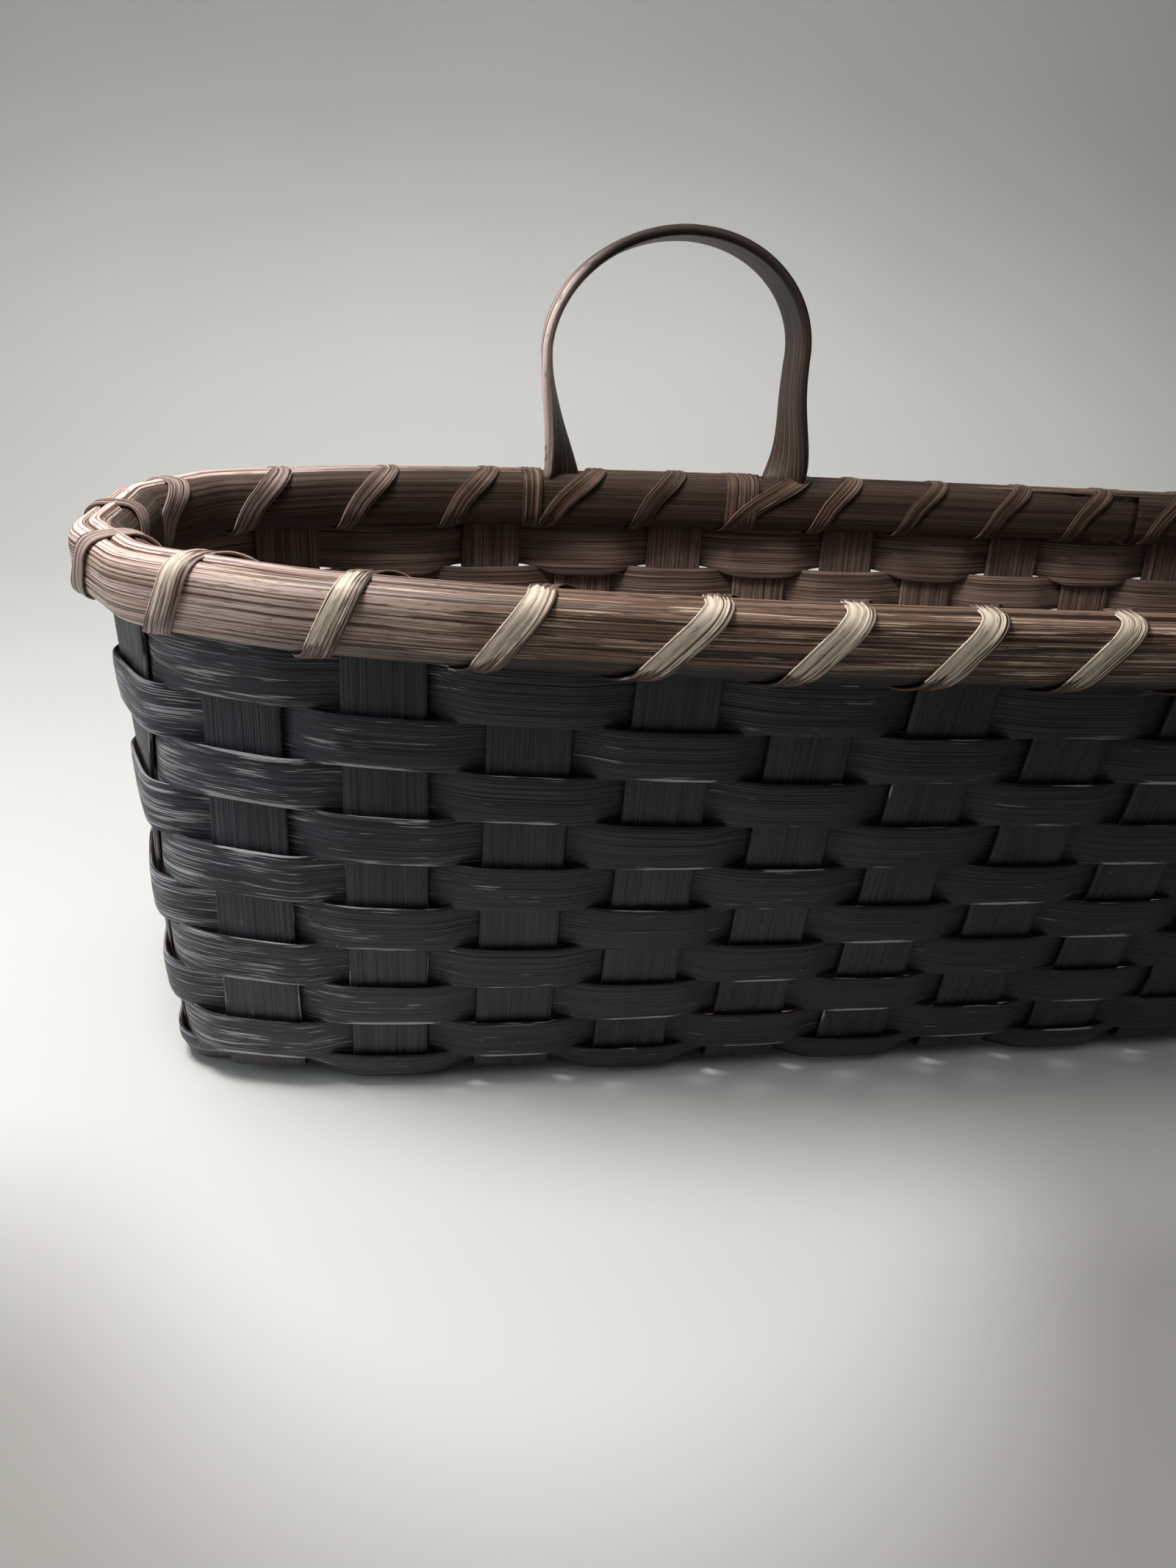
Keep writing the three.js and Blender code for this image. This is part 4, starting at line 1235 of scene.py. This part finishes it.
def stained_reed(name, light, mid, lifted_stain, lift):
    """Walnut-stained reed, with painted light at one end and painted shade where marked, pale where the
    stain has lifted.
    """
    n = Nodes(name)
    painted_light, wear, painted_shade = n.split(n.read("finish"))
    reed = n.read("reed")
    fine = n.fibre(reed, *STAIN_FINE)
    broad = n.fibre(reed, *STAIN_BROAD)
    dash = n.fibre(reed, *STAIN_DASH)
    grain = n.blend(fine, broad, STAIN_FINE_SHARE)
    stain = n.ramp(grain, (0.42, DEEP_STAIN), (0.49, mid), (0.57, light))
    # Painted light: a paler, rosier copy of the stain where the finish marks the lit end
    pale = n.ramp(grain, (0.40, mid), (0.45, TAN), (0.50, LIT_ROSE_TAN), (0.56, LIT_PALE_ROSE))
    colour = n.mix(painted_light, stain, pale)
    streak = n.fibre(reed, *STAIN_STREAK)
    clump = n.fibre(reed, *STAIN_CLUMP)
    lifted = n.blend(streak, clump, LIFT_STREAK_SHARE)
    limit = n.minus(LIFT_LIMIT, n.times(wear, lift))
    bare = n.step(lifted, limit, n.plus(limit, BARE_EDGE))
    colour = n.mix(n.times(bare, BARE_COVER), colour, lifted_stain)
    colour = n.mix(n.times(n.step(dash, *DASH_BAND), DASH_COVER), colour, DEEP_STAIN)
    # Painted shade: charcoal where the finish marks shade
    colour = n.mix(n.times(painted_shade, SHADE_COVER), colour, CHARCOAL)
    roughness = n.plus(n.times(grain, ROUGHNESS_SWING), STAIN_ROUGHNESS)
    return n.finish(colour, roughness, grain, STAIN_RELIEF, STAIN_SHINE)


PAINTED_REED = painted_reed()
RIM_REED = stained_reed("rim_reed", TAN, RIM_BROWN, OAT, RIM_LIFT)
INNER_RIM_REED = stained_reed("inner_rim_reed", INNER_RIM_LIGHT, INNER_RIM_BROWN, OAT, INNER_RIM_LIFT)
LASH_REED = stained_reed("lash_reed", TAN, LASH_BROWN, CREAM, LASH_LIFT)
LOOP_REED = stained_reed("loop_reed", LOOP_LIGHT, LOOP_BROWN, OAT, LOOP_LIFT)


def paper():
    """Pale paper with painted shade towards the near corners and up the wall, with soft uneven patches."""
    n = Nodes("paper")
    place = n.position()
    x, y, z = n.split(place)
    patches = n.put("TexNoise", {"Vector": place, "Scale": PATCH_SCALE}).outputs[0]
    sideways = n.minus(x, FRONT_CENTRE[0])
    forward = n.times(n.minus(y, FRONT_CENTRE[1]), FRONT_STRETCH)
    away = n.math("SQRT", n.plus(n.math("POWER", sideways, 2.0), n.math("POWER", forward, 2.0)))
    near = n.step(n.times(y, -1.0), *NEAR_BAND)
    corner = n.times(n.step(away, *CORNER_BAND), near)
    high = n.times(n.step(z, *HIGH_BAND), HIGH_SHADE)
    patchy = n.times(n.minus(patches, 0.5), PATCH_SHADE)
    shade = n.math("ADD", n.plus(corner, high), patchy, clamp=True)
    n.join(n.mix(shade, PAPER, SHADED_PAPER), n.shader.inputs["Base Color"])
    n.shader.inputs["Roughness"].default_value = PAPER_ROUGHNESS
    return n.material


# Studio


def build_studio():
    """Pale paper sweep: floor, a round turn behind the basket and a wall."""
    turn = np.linspace(0, math.pi / 2, SWEEP_STEPS)
    profile = [(FLOOR_FRONT, 0.0)]
    profile += [(FLOOR_BACK + SWEEP_RADIUS * math.sin(a), SWEEP_RADIUS * (1 - math.cos(a))) for a in turn]
    profile.append((FLOOR_BACK + SWEEP_RADIUS, BACKDROP_TOP))
    points = [(x, y, z) for y, z in profile for x in (-FLOOR_HALF_WIDTH, FLOOR_HALF_WIDTH)]
    faces = [(2 * k, 2 * k + 1, 2 * k + 3, 2 * k + 2) for k in range(len(profile) - 1)]
    mesh = bpy.data.meshes.new("paper_sweep")
    mesh.from_pydata(points, [], faces)
    mesh.shade_smooth()
    mesh.materials.append(paper())
    floor = bpy.data.objects.new("paper_sweep", mesh)
    bpy.context.scene.collection.objects.link(floor)


def add_softbox(name, place, target, size, power, colour):
    lamp = bpy.data.lights.new(name, "AREA")
    lamp.shape = "RECTANGLE"
    lamp.size, lamp.size_y = size
    lamp.energy = power
    lamp.color = colour
    softbox = bpy.data.objects.new(name, lamp)
    softbox.location = place
    softbox.rotation_euler = (Vector(target) - Vector(place)).to_track_quat("-Z", "Y").to_euler()
    bpy.context.scene.collection.objects.link(softbox)


def build_lights():
    for name, lamp in LAMPS.items():
        add_softbox(name, *lamp)
    world = bpy.data.worlds.new("studio_air")
    world.use_nodes = True
    air = world.node_tree.nodes["Background"]
    air.inputs["Color"].default_value = (*AIR_COLOUR, 1.0)
    air.inputs["Strength"].default_value = AIR_STRENGTH
    bpy.context.scene.world = world


def build_camera():
    """Camera of the photograph: turned to the right, looking down and slightly rolled."""
    yaw = Matrix.Rotation(-CAMERA_YAW, 4, "Z")
    pitch = Matrix.Rotation(math.pi / 2 - CAMERA_PITCH, 4, "X")
    roll = Matrix.Rotation(CAMERA_ROLL, 4, "Z")
    camera = bpy.data.objects.new("photo_camera", bpy.data.cameras.new("photo_camera"))
    camera.data.sensor_width = SENSOR
    camera.data.lens = SENSOR * FOCAL_PIXELS / FRAME_PIXELS
    camera.data.clip_start = CAMERA_NEAR
    camera.matrix_world = Matrix.Translation(Vector(CAMERA_PLACE) * MM) @ yaw @ pitch @ roll
    bpy.context.scene.collection.objects.link(camera)
    bpy.context.scene.camera = camera


build_spokes()
build_rows()
build_rim()
build_lashing()
build_loops()
build_studio()
build_lights()
build_camera()
bpy.context.scene.view_settings.view_transform = "Standard"
